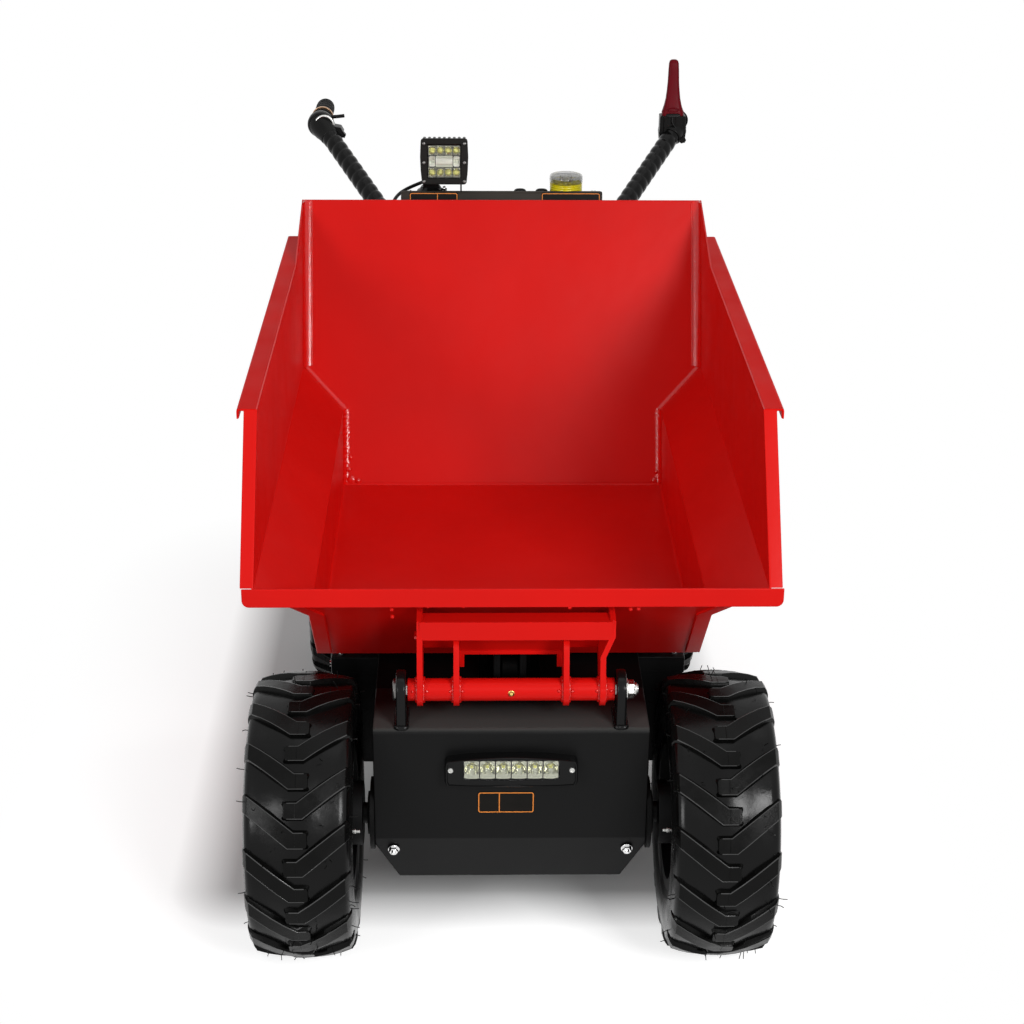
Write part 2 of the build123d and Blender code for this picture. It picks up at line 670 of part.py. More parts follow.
with BuildPart() as main_frame:
    for name, side in SIDES:
        block(mirrored(*PLATE_X, side), (PLATE_FRONT_BACK, SIDE_PLATE_REAR_BACK),
              (SIDE_PLATE_FOOT_UP, PLATE_TOP_UP))
        block(mirrored(*RAIL_X, side), (FRONT_BAR[0][1], RAIL_REAR_BACK), RAIL_UP)
        block(mirrored(RAIL_X[1], PLATE_X[0], side), LOWER_BAR[0], RAIL_UP)
        side_plate(BRACKET_POINTS, mirrored(*BRACKET_EAR, side))
    block(PLATE_INNER, *FRONT_BAR)
    block(PLATE_INNER, *LOWER_BAR)
    block((-RAIL_X[0], RAIL_X[0]), BASE_BAR_BACK, RAIL_UP)
    block((-RAIL_X[0], RAIL_X[0]), (RAIL_REAR_BACK - REAR_BAR_DEPTH, RAIL_REAR_BACK), RAIL_UP)
    cross_bar((-BRACKET_EAR[1], BRACKET_EAR[1]), BASE_PIN, PIN_RADIUS)
    for name, side in SIDES:
        cross_bar(mirrored(*PLATE_X, side), FRONT_AXLE, AXLE_TUBE_RADIUS + GAP,
                  mode=Mode.SUBTRACT)
save(main_frame, "main_frame")

DECK_UP = (FRAME_TOP_UP, FRAME_TOP_UP + DECK_THICK)
SPINE_UP = (FRAME_TOP_UP - SPINE_DEPTH, FRAME_TOP_UP)
BEARING_FOOT_UP = CROWN_UP[1] + BEARING_GAP
LASHING_X = (176, 186)
LASHING_REACH = 22
LASHING_PLACE = (BEAM_BACK[1] + LASHING_REACH, (BEAM_UP[0] + BEAM_UP[1]) / 2)
LASHING_RADIUS = 11

with BuildPart() as rear_spine:
    block((-SPINE_HALF, SPINE_HALF), (RAIL_REAR_BACK, BEAM_BACK[1]), SPINE_UP)
save(rear_spine, "rear_spine")

with BuildPart() as rear_deck:
    block((-DECK_HALF, DECK_HALF), (DECK_FRONT_BACK, BEAM_BACK[1]), DECK_UP)
    block((-DECK_HALF, DECK_HALF), BEAM_BACK, (DECK_UP[1], BEAM_UP[0]))
save(rear_deck, "rear_deck")

with BuildPart() as rear_beam:
    block((-BEAM_HALF, BEAM_HALF), BEAM_BACK, BEAM_UP)
    for name, side in SIDES:
        swivel = (side * REAR_WHEEL_X, SWIVEL_BACK)
        upright(swivel, (BEARING_FOOT_UP, BEAM_UP[0]), BEARING_RADIUS)
        upright(swivel, (BEARING_FOOT_UP, BEAM_UP[1]), STEM_RADIUS + FIT, mode=Mode.SUBTRACT)
        ear = mirrored(*LASHING_X, side)
        block(ear, (BEAM_BACK[1], LASHING_PLACE[0]), BEAM_UP)
        cross_bar(ear, LASHING_PLACE, (BEAM_UP[1] - BEAM_UP[0]) / 2)
        cross_bar(ear, LASHING_PLACE, LASHING_RADIUS, mode=Mode.SUBTRACT)
save(rear_beam, "rear_beam")

PAD_RADIUS = 18
PAD_PLACES = (                # x, back, seat height
    (86, 250, FRAME_TOP_UP),
    (86, 700, DECK_UP[1]),
)
with BuildPart() as rest_pads:
    for x, back, seat in PAD_PLACES:
        for name, side in SIDES:
            upright((side * x, back), (seat, UNDERSIDE_UP - GAP), PAD_RADIUS)
save(rest_pads, "rest_pads")

# ---------------------------------------------------------------- front cover

CORNER_START = 10             # the cut corners start this far under the fold
COVER_LINE = (
    (COVER_REAR_BACK, COVER_TOP_UP),
    (COVER_FACE_BACK, COVER_TOP_UP),
    (COVER_FACE_BACK, COVER_FOLD_UP),
    COVER_HEM,
)
with BuildPart() as front_cover:
    with BuildSketch(side_plane(-COVER_HALF)):
        with BuildLine():
            FilletPolyline(*COVER_LINE, radius=COVER_BEND)
            offset(amount=SHEET, side=Side.LEFT)
        make_face()
    extrude(amount=2 * COVER_HALF)
    for name, side in SIDES:
        corner = (
            (side * (COVER_HALF + 1), COVER_FOLD_UP - CORNER_START),
            (side * (COVER_HALF + 1), COVER_HEM[1] - SHEET),
            (side * COVER_HEM_HALF, COVER_HEM[1] - SHEET),
        )
        corner_back = (COVER_FACE_BACK - SHEET, COVER_HEM[0] + SHEET)
        front_plate(corner, corner_back, mode=Mode.SUBTRACT)
save(front_cover, "front_cover")

with BuildPart() as top_plates:
    for name, side in SIDES:
        block(mirrored(TOP_PLATE_SLOT, COVER_HALF, side),
              (COVER_REAR_BACK, TOP_PLATE_REAR_BACK), (COVER_TOP_UP - SHEET, COVER_TOP_UP))
save(top_plates, "top_plates")

# ---------------------------------------------------------------- drive and batteries

with BuildPart() as axle_housing:
    block((-GEARBOX_HALF, GEARBOX_HALF), GEARBOX_BACK, GEARBOX_UP)
    cross_bar((-AXLE_TUBE_END_X, AXLE_TUBE_END_X), FRONT_AXLE, AXLE_TUBE_RADIUS)
    for name, side in SIDES:
        cross_bar(mirrored(COVER_HALF, COVER_HALF + AXLE_FLANGE, side), FRONT_AXLE,
                  AXLE_FLANGE_RADIUS)
        cross_bar(mirrored(COVER_HALF, AXLE_TUBE_END_X, side), FRONT_AXLE, AXLE_COLLAR_RADIUS)
        cross_bar(mirrored(DRIVE_SHAFT_END_X - SHAFT_SPARE, AXLE_TUBE_END_X, side), FRONT_AXLE,
                  DRIVE_SHAFT_RADIUS + FIT, mode=Mode.SUBTRACT)
save(axle_housing, "axle_housing")

with BuildPart() as drive_motor:
    with BuildSketch(front_plane(GEARBOX_BACK[1])):
        with Locations((0, MOTOR_UP)):
            Circle(MOTOR_RADIUS)
    extrude(amount=-MOTOR_LENGTH)
save(drive_motor, "drive_motor")

BATTERY_HANGER_UP = (RAIL_UP[0] + 5, FRAME_TOP_UP - 15)
with BuildPart() as battery_boxes:
    for name, side in SIDES:
        x = mirrored(*BATTERY_X, side)
        block(x, BATTERY_BACK, BATTERY_UP)
        block(mirrored(RAIL_X[1], BATTERY_X[0], side), BATTERY_BACK, BATTERY_HANGER_UP)
save(battery_boxes, "battery_boxes")

with BuildPart() as controller_box:
    block((-CONTROLLER_HALF, CONTROLLER_HALF), CONTROLLER_BACK, (CONTROLLER_FOOT_UP, RAIL_UP[0]))
save(controller_box, "controller_box")

# ---------------------------------------------------------------- console

COLUMN_FOOT_BACK = (BEAM_BACK[1] - 2 - COLUMN_DEPTH, BEAM_BACK[1] - 2)
COLUMN_RISE = CONSOLE_FRONT_FOOT[1] - BEAM_UP[1]
COLUMN_SPARE = 40             # it leans this much more than the bucket's back wall
COLUMN_LEAN = COLUMN_RISE * WALL_SLOPE + COLUMN_SPARE
with BuildPart() as console_column:
    side_plate(
        (
            (COLUMN_FOOT_BACK[0], BEAM_UP[1]),
            (COLUMN_FOOT_BACK[1], BEAM_UP[1]),
            (COLUMN_FOOT_BACK[1] + COLUMN_LEAN, CONSOLE_FRONT_FOOT[1]),
            (COLUMN_FOOT_BACK[0] + COLUMN_LEAN, CONSOLE_FRONT_FOOT[1]),
        ),
        (-COLUMN_HALF, COLUMN_HALF),
    )
save(console_column, "console_column")

with BuildPart() as console_box:
    side_plate(
        (CONSOLE_FRONT_TOP, CONSOLE_REAR_TOP, CONSOLE_REAR_FOOT, CONSOLE_FRONT_FOOT),
        (-CONSOLE_HALF, CONSOLE_HALF),
    )
save(console_box, "console_box")

CONSOLE_NORMAL = Vector(0, CONSOLE_SLOPE, 1).normalized()
Knob = namedtuple("Knob", "x back radius height")
KNOBS = (
    Knob(x=34, back=1120, radius=11, height=10),
    Knob(x=75, back=1120, radius=11, height=10),
    Knob(x=78, back=1185, radius=20, height=14),
)
with BuildPart() as control_knobs:
    for knob in KNOBS:
        seat = Plane(origin=(knob.x, y_at(knob.back), console_top_up(knob.back)),
                     x_dir=(1, 0, 0), z_dir=CONSOLE_NORMAL)
        with BuildSketch(seat):
            Circle(knob.radius)
        extrude(amount=knob.height)
save(control_knobs, "control_knobs")

# ---------------------------------------------------------------- handlebars


def handle_point(place, side):
    """The frame's point of an (x, back, up) place on one side."""
    return Vector(side * place[0], y_at(place[1]), place[2])


def toward(start, end, distance):
    """The point that far from start towards end."""
    return start + (end - start).normalized() * distance


def straight_ring(start, end, outer, inner=0, mode=Mode.ADD):
    """A round bar, or a sleeve if inner is given, between two points."""
    with BuildSketch(Plane(origin=start, z_dir=end - start)) as section:
        Circle(outer)
        if inner:
            Circle(inner, mode=Mode.SUBTRACT)
    extrude(section.sketch, amount=(end - start).length, mode=mode)


HANDLE_ROUTES = {
    name: [handle_point(place, side) for place in HANDLE_POINTS] for name, side in SIDES
}

with BuildPart() as handlebars:
    for name, side in SIDES:
        start, elbow, bend, tip = HANDLE_ROUTES[name]
        with BuildLine() as route:
            FilletPolyline(start, elbow, bend, tip, radius=HANDLE_BEND)
        with BuildSketch(Plane(origin=start, z_dir=elbow - start)) as section:
            Circle(HANDLE_TUBE_RADIUS)
        sweep(section.sketch, path=route.line)
save(handlebars, "handlebars")

SLEEVE_START = 20
SLEEVE_END = 46
with BuildPart() as handle_sleeves:
    for name, side in SIDES:
        start, elbow, bend, tip = HANDLE_ROUTES[name]
        straight_ring(toward(elbow, bend, SLEEVE_START), toward(bend, elbow, SLEEVE_END),
                      SLEEVE_RADIUS, HANDLE_TUBE_RADIUS)
save(handle_sleeves, "handle_sleeves")

with BuildPart() as grips:
    for name, side in SIDES:
        start, elbow, bend, tip = HANDLE_ROUTES[name]
        straight_ring(toward(tip, bend, GRIP_LENGTH), tip, GRIP_RADIUS, HANDLE_TUBE_RADIUS)
save(grips, "grips")

RING_RADIUS = 23
RING_LENGTH = 34
SWITCH_SIZE = (20, 26, 34)    # x, back, up
SWITCH_PLACE = (30, 0, 0)
THUMB_SIZE = (24, 10, 7)
THUMB_PLACE = (26, 4, 19)
with BuildPart() as throttle_housing:
    start, elbow, bend, tip = HANDLE_ROUTES["right"]
    middle = toward(bend, elbow, SLEEVE_END - RING_LENGTH / 2)
    with Locations(middle + Vector(*SWITCH_PLACE)):
        Box(*SWITCH_SIZE)
    straight_ring(toward(bend, elbow, SLEEVE_END),
                  toward(bend, elbow, SLEEVE_END - RING_LENGTH), RING_RADIUS)
    with Locations(middle + Vector(*THUMB_PLACE)):
        Box(*THUMB_SIZE)
    add(handlebars.part, mode=Mode.SUBTRACT)
    straight_ring(toward(bend, elbow, SLEEVE_END + RING_LENGTH),
                  toward(bend, elbow, SLEEVE_END), SLEEVE_RADIUS, mode=Mode.SUBTRACT)
save(throttle_housing, "throttle_housing")

CLAMP_RADIUS = 21
CLAMP_BLOCK = (44, 30, 40)    # x, back, up
CLAMP_PLACE = (0, 8)
LEVER_FOOT_LIFT = 36
LEVER_HEIGHT = 102
LEVER_FOOT = (40, 22)
LEVER_TIP = (20, 14)
LEVER_LEAN = 12               # how far the tip is behind the foot
LEVER_EDGE = 4                # radius of the tip's edge
with BuildPart() as lever_clamp:
    start, elbow, bend, tip = HANDLE_ROUTES["left"]
    straight_ring(toward(bend, elbow, SLEEVE_END),
                  toward(bend, elbow, SLEEVE_END - RING_LENGTH), CLAMP_RADIUS)
    clamp_middle = toward(bend, elbow, SLEEVE_END - RING_LENGTH / 2)
    with Locations(clamp_middle + Vector(*CLAMP_PLACE, LEVER_FOOT_LIFT - CLAMP_BLOCK[2] / 2)):
        Box(*CLAMP_BLOCK)
    add(handlebars.part, mode=Mode.SUBTRACT)
    straight_ring(toward(bend, elbow, SLEEVE_END + RING_LENGTH),
                  toward(bend, elbow, SLEEVE_END), SLEEVE_RADIUS, mode=Mode.SUBTRACT)
save(lever_clamp, "lever_clamp")

lever_foot = clamp_middle + Vector(*CLAMP_PLACE, LEVER_FOOT_LIFT)
with BuildPart() as hand_lever:
    for size, rise in ((LEVER_FOOT, 0), (LEVER_TIP, LEVER_HEIGHT)):
        lean = LEVER_LEAN * rise / LEVER_HEIGHT
        with BuildSketch(Plane(origin=lever_foot + Vector(0, lean, rise))):
            RectangleRounded(*size, radius=size[1] / 2 - 1)
    loft()
    fillet(hand_lever.faces().sort_by(Axis.Z)[-1].edges(), radius=LEVER_EDGE)
save(hand_lever, "hand_lever")

# ---------------------------------------------------------------- light bar

BAR_W, BAR_H = LIGHT_BAR_SIZE
LENS_W, LENS_H = LIGHT_LENS_SIZE
BAR_BACK = (COVER_FACE_BACK - LIGHT_BAR_DEPTH, COVER_FACE_BACK)
BAR_ARCH = 5
BAR_CORNER = 8
LENS_X = (-LENS_W / 2, LENS_W / 2)
LENS_MIDDLE_UP = LIGHT_BAR_UP + LIGHT_LENS_LIFT
LENS_UP = (LENS_MIDDLE_UP - LENS_H / 2, LENS_MIDDLE_UP + LENS_H / 2)
REFLECTOR_DEPTH = 14
LENS_INSET = 2
LENS_THICK = 3
with BuildPart() as light_bar_housing:
    with BuildSketch(front_plane(BAR_BACK[1])):
        with BuildLine():
            low = LIGHT_BAR_UP - BAR_H / 2
            high = LIGHT_BAR_UP + BAR_H / 2
            ends = FilletPolyline((BAR_W / 2, high - BAR_ARCH), (BAR_W / 2, low), (-BAR_W / 2, low),
                                  (-BAR_W / 2, high - BAR_ARCH), radius=BAR_CORNER)
            ThreePointArc(ends @ 0, (0, high), ends @ 1)
        make_face()
    extrude(amount=LIGHT_BAR_DEPTH)
    block(LENS_X, (BAR_BACK[0], BAR_BACK[0] + REFLECTOR_DEPTH), LENS_UP, mode=Mode.SUBTRACT)
save(light_bar_housing, "light_bar_housing")

with BuildPart() as light_bar_lens:
    block(LENS_X, (BAR_BACK[0] + LENS_INSET, BAR_BACK[0] + LENS_INSET + LENS_THICK), LENS_UP)
save(light_bar_lens, "light_bar_lens")

# ---------------------------------------------------------------- work lamp and beacon

LAMP_W, LAMP_DEEP, LAMP_H = LAMP_SIZE
LAMP_CORNER = 5
LAMP_UPRIGHT = Vector(0, sin(radians(LAMP_TILT)), cos(radians(LAMP_TILT)))
LAMP_AHEAD = Vector(0, -cos(radians(LAMP_TILT)), sin(radians(LAMP_TILT)))
LAMP_CENTRE = Vector(LAMP_X, y_at(LAMP_FACE_BACK), LAMP_UP)
LAMP_FACE = Plane(origin=LAMP_CENTRE, x_dir=(1, 0, 0), z_dir=LAMP_AHEAD)
WINDOW_DEPTH = 12
GLAND = (-14, -35)            # x, up from the middle of the lamp's back
GLAND_RADIUS = 6
GLAND_LENGTH = 10
GLAND_FOOT = LAMP_CENTRE + Vector(GLAND[0], 0, 0) + LAMP_UPRIGHT * GLAND[1] - LAMP_AHEAD * LAMP_DEEP
GLAND_TIP = GLAND_FOOT - LAMP_AHEAD * GLAND_LENGTH

with BuildPart() as work_lamp_housing:
    with BuildSketch(LAMP_FACE):
        RectangleRounded(LAMP_W, LAMP_H, radius=LAMP_CORNER)
    extrude(amount=-LAMP_DEEP)
    with BuildSketch(LAMP_FACE):
        Rectangle(LAMP_WINDOW, LAMP_WINDOW)
    extrude(amount=-WINDOW_DEPTH, mode=Mode.SUBTRACT)
    straight_ring(GLAND_FOOT, GLAND_TIP, GLAND_RADIUS)
save(work_lamp_housing, "work_lamp_housing")

with BuildPart() as work_lamp_lens:
    with BuildSketch(LAMP_FACE.offset(-LENS_INSET)):
        Rectangle(LAMP_WINDOW, LAMP_WINDOW)
    extrude(amount=-LENS_THICK)
save(work_lamp_lens, "work_lamp_lens")

STRAP_X = (LAMP_X - 26, LAMP_X + 14)
STRAP_THICK = 4
STRAP_BACK = (1094, 1094 + STRAP_THICK)
STRAP_FOOT_BACK = 1124
LAMP_FOOT_SLOPE = tan(radians(LAMP_TILT))


def lamp_under_up(back):
    """Height of the lamp's tilted underside."""
    corner = LAMP_CENTRE - LAMP_UPRIGHT * (LAMP_H / 2)
    return corner.Z - (y_at(back) - corner.Y) * LAMP_FOOT_SLOPE


with BuildPart() as work_lamp_bracket:
    side_plate(
        (
            (STRAP_BACK[0], console_top_up(STRAP_BACK[0])),
            (STRAP_FOOT_BACK, console_top_up(STRAP_FOOT_BACK)),
            (STRAP_FOOT_BACK, console_top_up(STRAP_FOOT_BACK) + STRAP_THICK),
            (STRAP_BACK[1], console_top_up(STRAP_BACK[1]) + STRAP_THICK),
            (STRAP_BACK[1], lamp_under_up(STRAP_BACK[1])),
            (STRAP_BACK[0], lamp_under_up(STRAP_BACK[0])),
        ),
        STRAP_X,
    )
save(work_lamp_bracket, "work_lamp_bracket")

with BuildPart() as beacon_base:
    foot_up = console_top_up(BEACON_PLACE[1] + BEACON_RADIUS)
    upright(BEACON_PLACE, (foot_up, BEACON_SPLIT_UP), BEACON_RADIUS)
    side_plate(
        (CONSOLE_FRONT_TOP, CONSOLE_REAR_TOP, CONSOLE_REAR_FOOT, CONSOLE_FRONT_FOOT),
        (-CONSOLE_HALF, CONSOLE_HALF),
        mode=Mode.SUBTRACT,
    )
save(beacon_base, "beacon_base")

BEACON_STEP = 0.5             # the lens's side inside the base's
BEACON_EDGE = 6               # radius of the lens's top edge
with BuildPart() as beacon_lens:
    upright(BEACON_PLACE, (BEACON_SPLIT_UP, BEACON_TOP_UP), BEACON_RADIUS - BEACON_STEP)
    fillet(beacon_lens.faces().sort_by(Axis.Z)[-1].edges(), radius=BEACON_EDGE)
save(beacon_lens, "beacon_lens")

# ---------------------------------------------------------------- lamp lead

LEAD_POINTS = (               # x, back, up: from the lamp's gland to the console's side
    (-118, 1133.0, 847.8),
    (-118, 1149.3, 844.9),
    (-126, 1163, 840),
    (-141, 1171, 833),
    (-159, 1171, 826),
    (-176, 1163, 820),
    (-189, 1148, 815),
    (-197, 1129, 809),
    (-200, 1110, 802),
    (-199, 1096, 794),
    (-194, 1087, 787),
    (-183, 1087, 787),
)
lead = [Vector(x, y_at(back), up) for x, back, up in LEAD_POINTS]
lead_radii = []
for before, point, after in zip(lead, lead[1:], lead[2:]):
    turn = radians((point - before).get_angle(after - point))
    run = min((point - before).length, (after - point).length)
    lead_radii.append(0.45 * run / tan(turn / 2))
with BuildPart() as lamp_lead:
    with BuildLine() as route:
        FilletPolyline(*lead, radius=lead_radii)
    with BuildSketch(Plane(origin=lead[0], z_dir=lead[1] - lead[0])):
        Circle(LEAD_RADIUS)
    sweep(path=route.line)
save(lamp_lead, "lamp_lead")

print("lead radii", [round(radius, 1) for radius in lead_radii])
print("lead length", round(route.wire().length, 1))
print("lead volume over section times length",
      round(lamp_lead.part.volume / (pi * LEAD_RADIUS ** 2 * route.wire().length), 4))
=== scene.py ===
import json
import math
import random

import bmesh
import bpy
from mathutils import Matrix, Vector

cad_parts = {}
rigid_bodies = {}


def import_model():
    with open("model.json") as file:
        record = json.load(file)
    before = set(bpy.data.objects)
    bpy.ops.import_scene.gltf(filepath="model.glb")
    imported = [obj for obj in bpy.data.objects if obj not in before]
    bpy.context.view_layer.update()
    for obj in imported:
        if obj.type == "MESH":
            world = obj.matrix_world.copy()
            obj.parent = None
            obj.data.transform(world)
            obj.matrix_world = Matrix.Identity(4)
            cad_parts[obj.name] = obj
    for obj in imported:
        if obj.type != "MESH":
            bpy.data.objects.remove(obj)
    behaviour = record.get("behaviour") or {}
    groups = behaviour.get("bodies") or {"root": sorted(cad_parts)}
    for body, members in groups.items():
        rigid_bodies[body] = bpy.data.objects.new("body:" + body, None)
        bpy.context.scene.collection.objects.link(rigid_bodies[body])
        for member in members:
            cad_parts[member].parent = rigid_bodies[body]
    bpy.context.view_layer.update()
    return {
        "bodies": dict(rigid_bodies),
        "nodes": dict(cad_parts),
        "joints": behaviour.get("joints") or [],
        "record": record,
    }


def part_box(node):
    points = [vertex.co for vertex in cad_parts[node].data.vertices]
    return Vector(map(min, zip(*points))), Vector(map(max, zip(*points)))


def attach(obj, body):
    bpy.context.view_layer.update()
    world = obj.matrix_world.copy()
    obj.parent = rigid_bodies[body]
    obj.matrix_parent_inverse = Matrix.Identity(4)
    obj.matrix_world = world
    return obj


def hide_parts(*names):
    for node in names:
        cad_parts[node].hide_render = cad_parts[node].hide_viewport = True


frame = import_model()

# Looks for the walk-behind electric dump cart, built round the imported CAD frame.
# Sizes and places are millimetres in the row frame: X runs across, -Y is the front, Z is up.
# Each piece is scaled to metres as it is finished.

MM = 0.001
rng = random.Random(7)


def box(node):
    """The lowest and highest corners of a CAD node, in millimetres."""
    low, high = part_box(node)
    return low / MM, high / MM


def middle(node):
    """The middle of a CAD node's box, in millimetres."""
    low, high = box(node)
    return (low + high) / 2


# ---------------------------------------------------------------- shapes

SIDES = (("right", -1), ("left", 1))


def at(x, y, z):
    """A place with the row frame's own directions."""
    return Matrix.Translation((x, y, z))


def facing(origin, direction):
    """A place whose Z points in the direction."""
    turn = Vector(direction).to_track_quat("Z", "Y")
    return Matrix.Translation(origin) @ turn.to_matrix().to_4x4()


def across(x=0):
    """A place for (y, z) outlines, whose Z runs along the row's X."""
    return Matrix(((0, 0, 1, x), (1, 0, 0, 0), (0, 1, 0, 0), (0, 0, 0, 1)))


def outward(side, x=0):
    """Like across, with Z away from the middle on that side."""
    return across(x) @ Matrix.Rotation(0 if side > 0 else math.pi, 4, "X")


def fronted(y=0):
    """A place for (x, z) outlines, whose Z points to the front."""
    return Matrix(((1, 0, 0, 0), (0, 0, -1, y), (0, 1, 0, 0), (0, 0, 0, 1)))


def spread(place, radius, count, start=0.0, level=0):
    """Places evenly round a circle about the place's Z; start is a share of their pitch."""
    for i in range(count):
        turn = 2 * math.pi * (i + start) / count
        yield place @ at(radius * math.cos(turn), radius * math.sin(turn), level)


def rounded(corners, radius, steps=5):
    """The outline with every corner rounded."""
    corners = [Vector(corner) for corner in corners]
    outline = []
    for i, corner in enumerate(corners):
        into = corners[i - 1] - corner
        away = corners[(i + 1) % len(corners)] - corner
        half = into.angle(away) / 2
        cut = min(radius / math.tan(half), 0.48 * into.length, 0.48 * away.length)
        start = corner + into.normalized() * cut
        end = corner + away.normalized() * cut
        for step in range(steps + 1):
            t = step / steps
            outline.append(start * (1 - t) ** 2 + corner * 2 * t * (1 - t) + end * t * t)
    return outline


def rectangle(width, height, radius=0, steps=5):
    """A rectangle about the origin, with rounded corners if a radius is given."""
    x, y = width / 2, height / 2
    corners = [(-x, -y), (x, -y), (x, y), (-x, y)]
    return rounded(corners, radius, steps) if radius else corners


def slab(x0, y0, x1, y1):
    """A rectangle between two corners."""
    return [(x0, y0), (x1, y0), (x1, y1), (x0, y1)]


def circle(radius, sides):
    """A round outline about the origin."""
    turns = [2 * math.pi * i / sides for i in range(sides)]
    return [(radius * math.cos(turn), radius * math.sin(turn)) for turn in turns]


def turned(profile, place, steps):
    """A ring round the place's Z for each (radius, height) of the profile."""
    return [[place @ Vector((x, y, height)) for x, y in circle(radius, steps)]
            for radius, height in profile]


class Piece:
    """One mesh built from simple shapes."""

    def __init__(self):
        self.mesh = bmesh.new()

    def rings(self, rings, capped=True):
        """Joins rings of equally many points into a skin."""
        count = len(rings[0])
        corners = [self.mesh.verts.new(point) for ring in rings for point in ring]
        for ring in range(len(rings) - 1):
            for i in range(count):
                a = ring * count + i
                b = ring * count + (i + 1) % count
                quad = (a, b, b + count, a + count)
                self.mesh.faces.new([corners[corner] for corner in quad])
        if capped:
            self.mesh.faces.new(reversed(corners[:count]))
            self.mesh.faces.new(corners[-count:])

    def loop(self, rings):
        """Joins rings into a skin whose last ring meets its first."""
        self.rings(rings + [rings[0]], capped=False)

    def prism(self, outline, low, high, place):
        """An outline in the place's XY plane, solid from low to high along its Z."""
        rings = [[place @ Vector((x, y, z)) for x, y in outline] for z in (low, high)]
        self.rings(rings)

    def block(self, low, high):
        """A box between two corners."""
        size = Vector(high) - Vector(low)
        centre = (Vector(high) + Vector(low)) / 2
        self.prism(rectangle(size.x, size.y), -size.z / 2, size.z / 2, at(*centre))

    def lathe(self, profile, place, steps):
        """A (radius, height) profile turned about the place's Z; its ends are closed."""
        self.rings(turned(profile, place, steps))

    def lathes(self, place, *shapes):
        """Several lathed shapes at one place, each a profile and its number of sides."""
        for profile, steps in shapes:
            self.lathe(profile, place, steps)

    def tube(self, profile, place, steps):
        """A closed (radius, height) section turned about the place's Z."""
        self.loop(turned(profile, place, steps))

    def bar(self, path, radius, sides, ripple=None):
        """A round bar along 3-D points; ripple(i, turn) adds to its radius."""
        path = [Vector(point) for point in path]
        normal = (path[1] - path[0]).orthogonal().normalized()
        rings = []
        for i, point in enumerate(path):
            ahead = (path[min(i + 1, len(path) - 1)] - path[max(i - 1, 0)]).normalized()
            normal = (normal - ahead * normal.dot(ahead)).normalized()
            other = ahead.cross(normal)
            ring = []
            for side in range(sides):
                turn = 2 * math.pi * side / sides
                out = radius + (ripple(i, turn) if ripple else 0)
                ring.append(point + (normal * math.cos(turn) + other * math.sin(turn)) * out)
            rings.append(ring)
        self.rings(rings)

    def bolt(self, place, size):
        """A hexagon head on a washer, seated on the place's XY plane; size is the thread."""
        edge = size * 1.15
        self.lathe([(edge, 0), (edge, size * 0.16), (edge * 0.93, size * 0.22)], place, 28)
        foot = size * 0.2
        flat = size * 0.92
        head = [(flat, foot), (flat, foot + size * 0.55), (flat * 0.88, foot + size * 0.68)]
        self.lathe(head, place, 6)
        tip = foot + size * 0.68
        end = [(size * 0.42, tip - 1), (size * 0.42, tip + size * 0.3), (size * 0.34, tip + size * 0.36)]
        self.lathe(end, place, 16)

    def finish(self, name, finish, body="chassis", slot=None, bevel=0.0, steps=2, sharp=35,
               replaces=()):
        """Scales the mesh to metres and makes it a piece that rides on the body."""
        bmesh.ops.recalc_face_normals(self.mesh, faces=self.mesh.faces)
        bmesh.ops.scale(self.mesh, vec=(MM, MM, MM), verts=self.mesh.verts)
        mesh = bpy.data.meshes.new(name)
        self.mesh.to_mesh(mesh)
        self.mesh.free()
        mesh.shade_smooth()
        mesh.set_sharp_from_angle(angle=math.radians(sharp))
        piece = bpy.data.objects.new(name, mesh)
        bpy.context.scene.collection.objects.link(piece)
        mesh.materials.append(FINISH[finish])
        if bevel:
            soften(piece, bevel, steps)
        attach(piece, body)
        if replaces:
            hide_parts(*replaces)


def soften(piece, width, steps=2, weld=False):
    """Rounds the piece's sharp edges with modifiers."""
    if weld:
        joined = piece.modifiers.new("weld", "WELD")
        joined.merge_threshold = 0.00002
    edge = piece.modifiers.new("edges", "BEVEL")
    edge.width = width * MM
    edge.segments = steps
    edge.limit_method = "ANGLE"
    edge.angle_limit = math.radians(32)
    shade = piece.modifiers.new("shade", "WEIGHTED_NORMAL")
    shade.weight = 90


# ---------------------------------------------------------------- materials


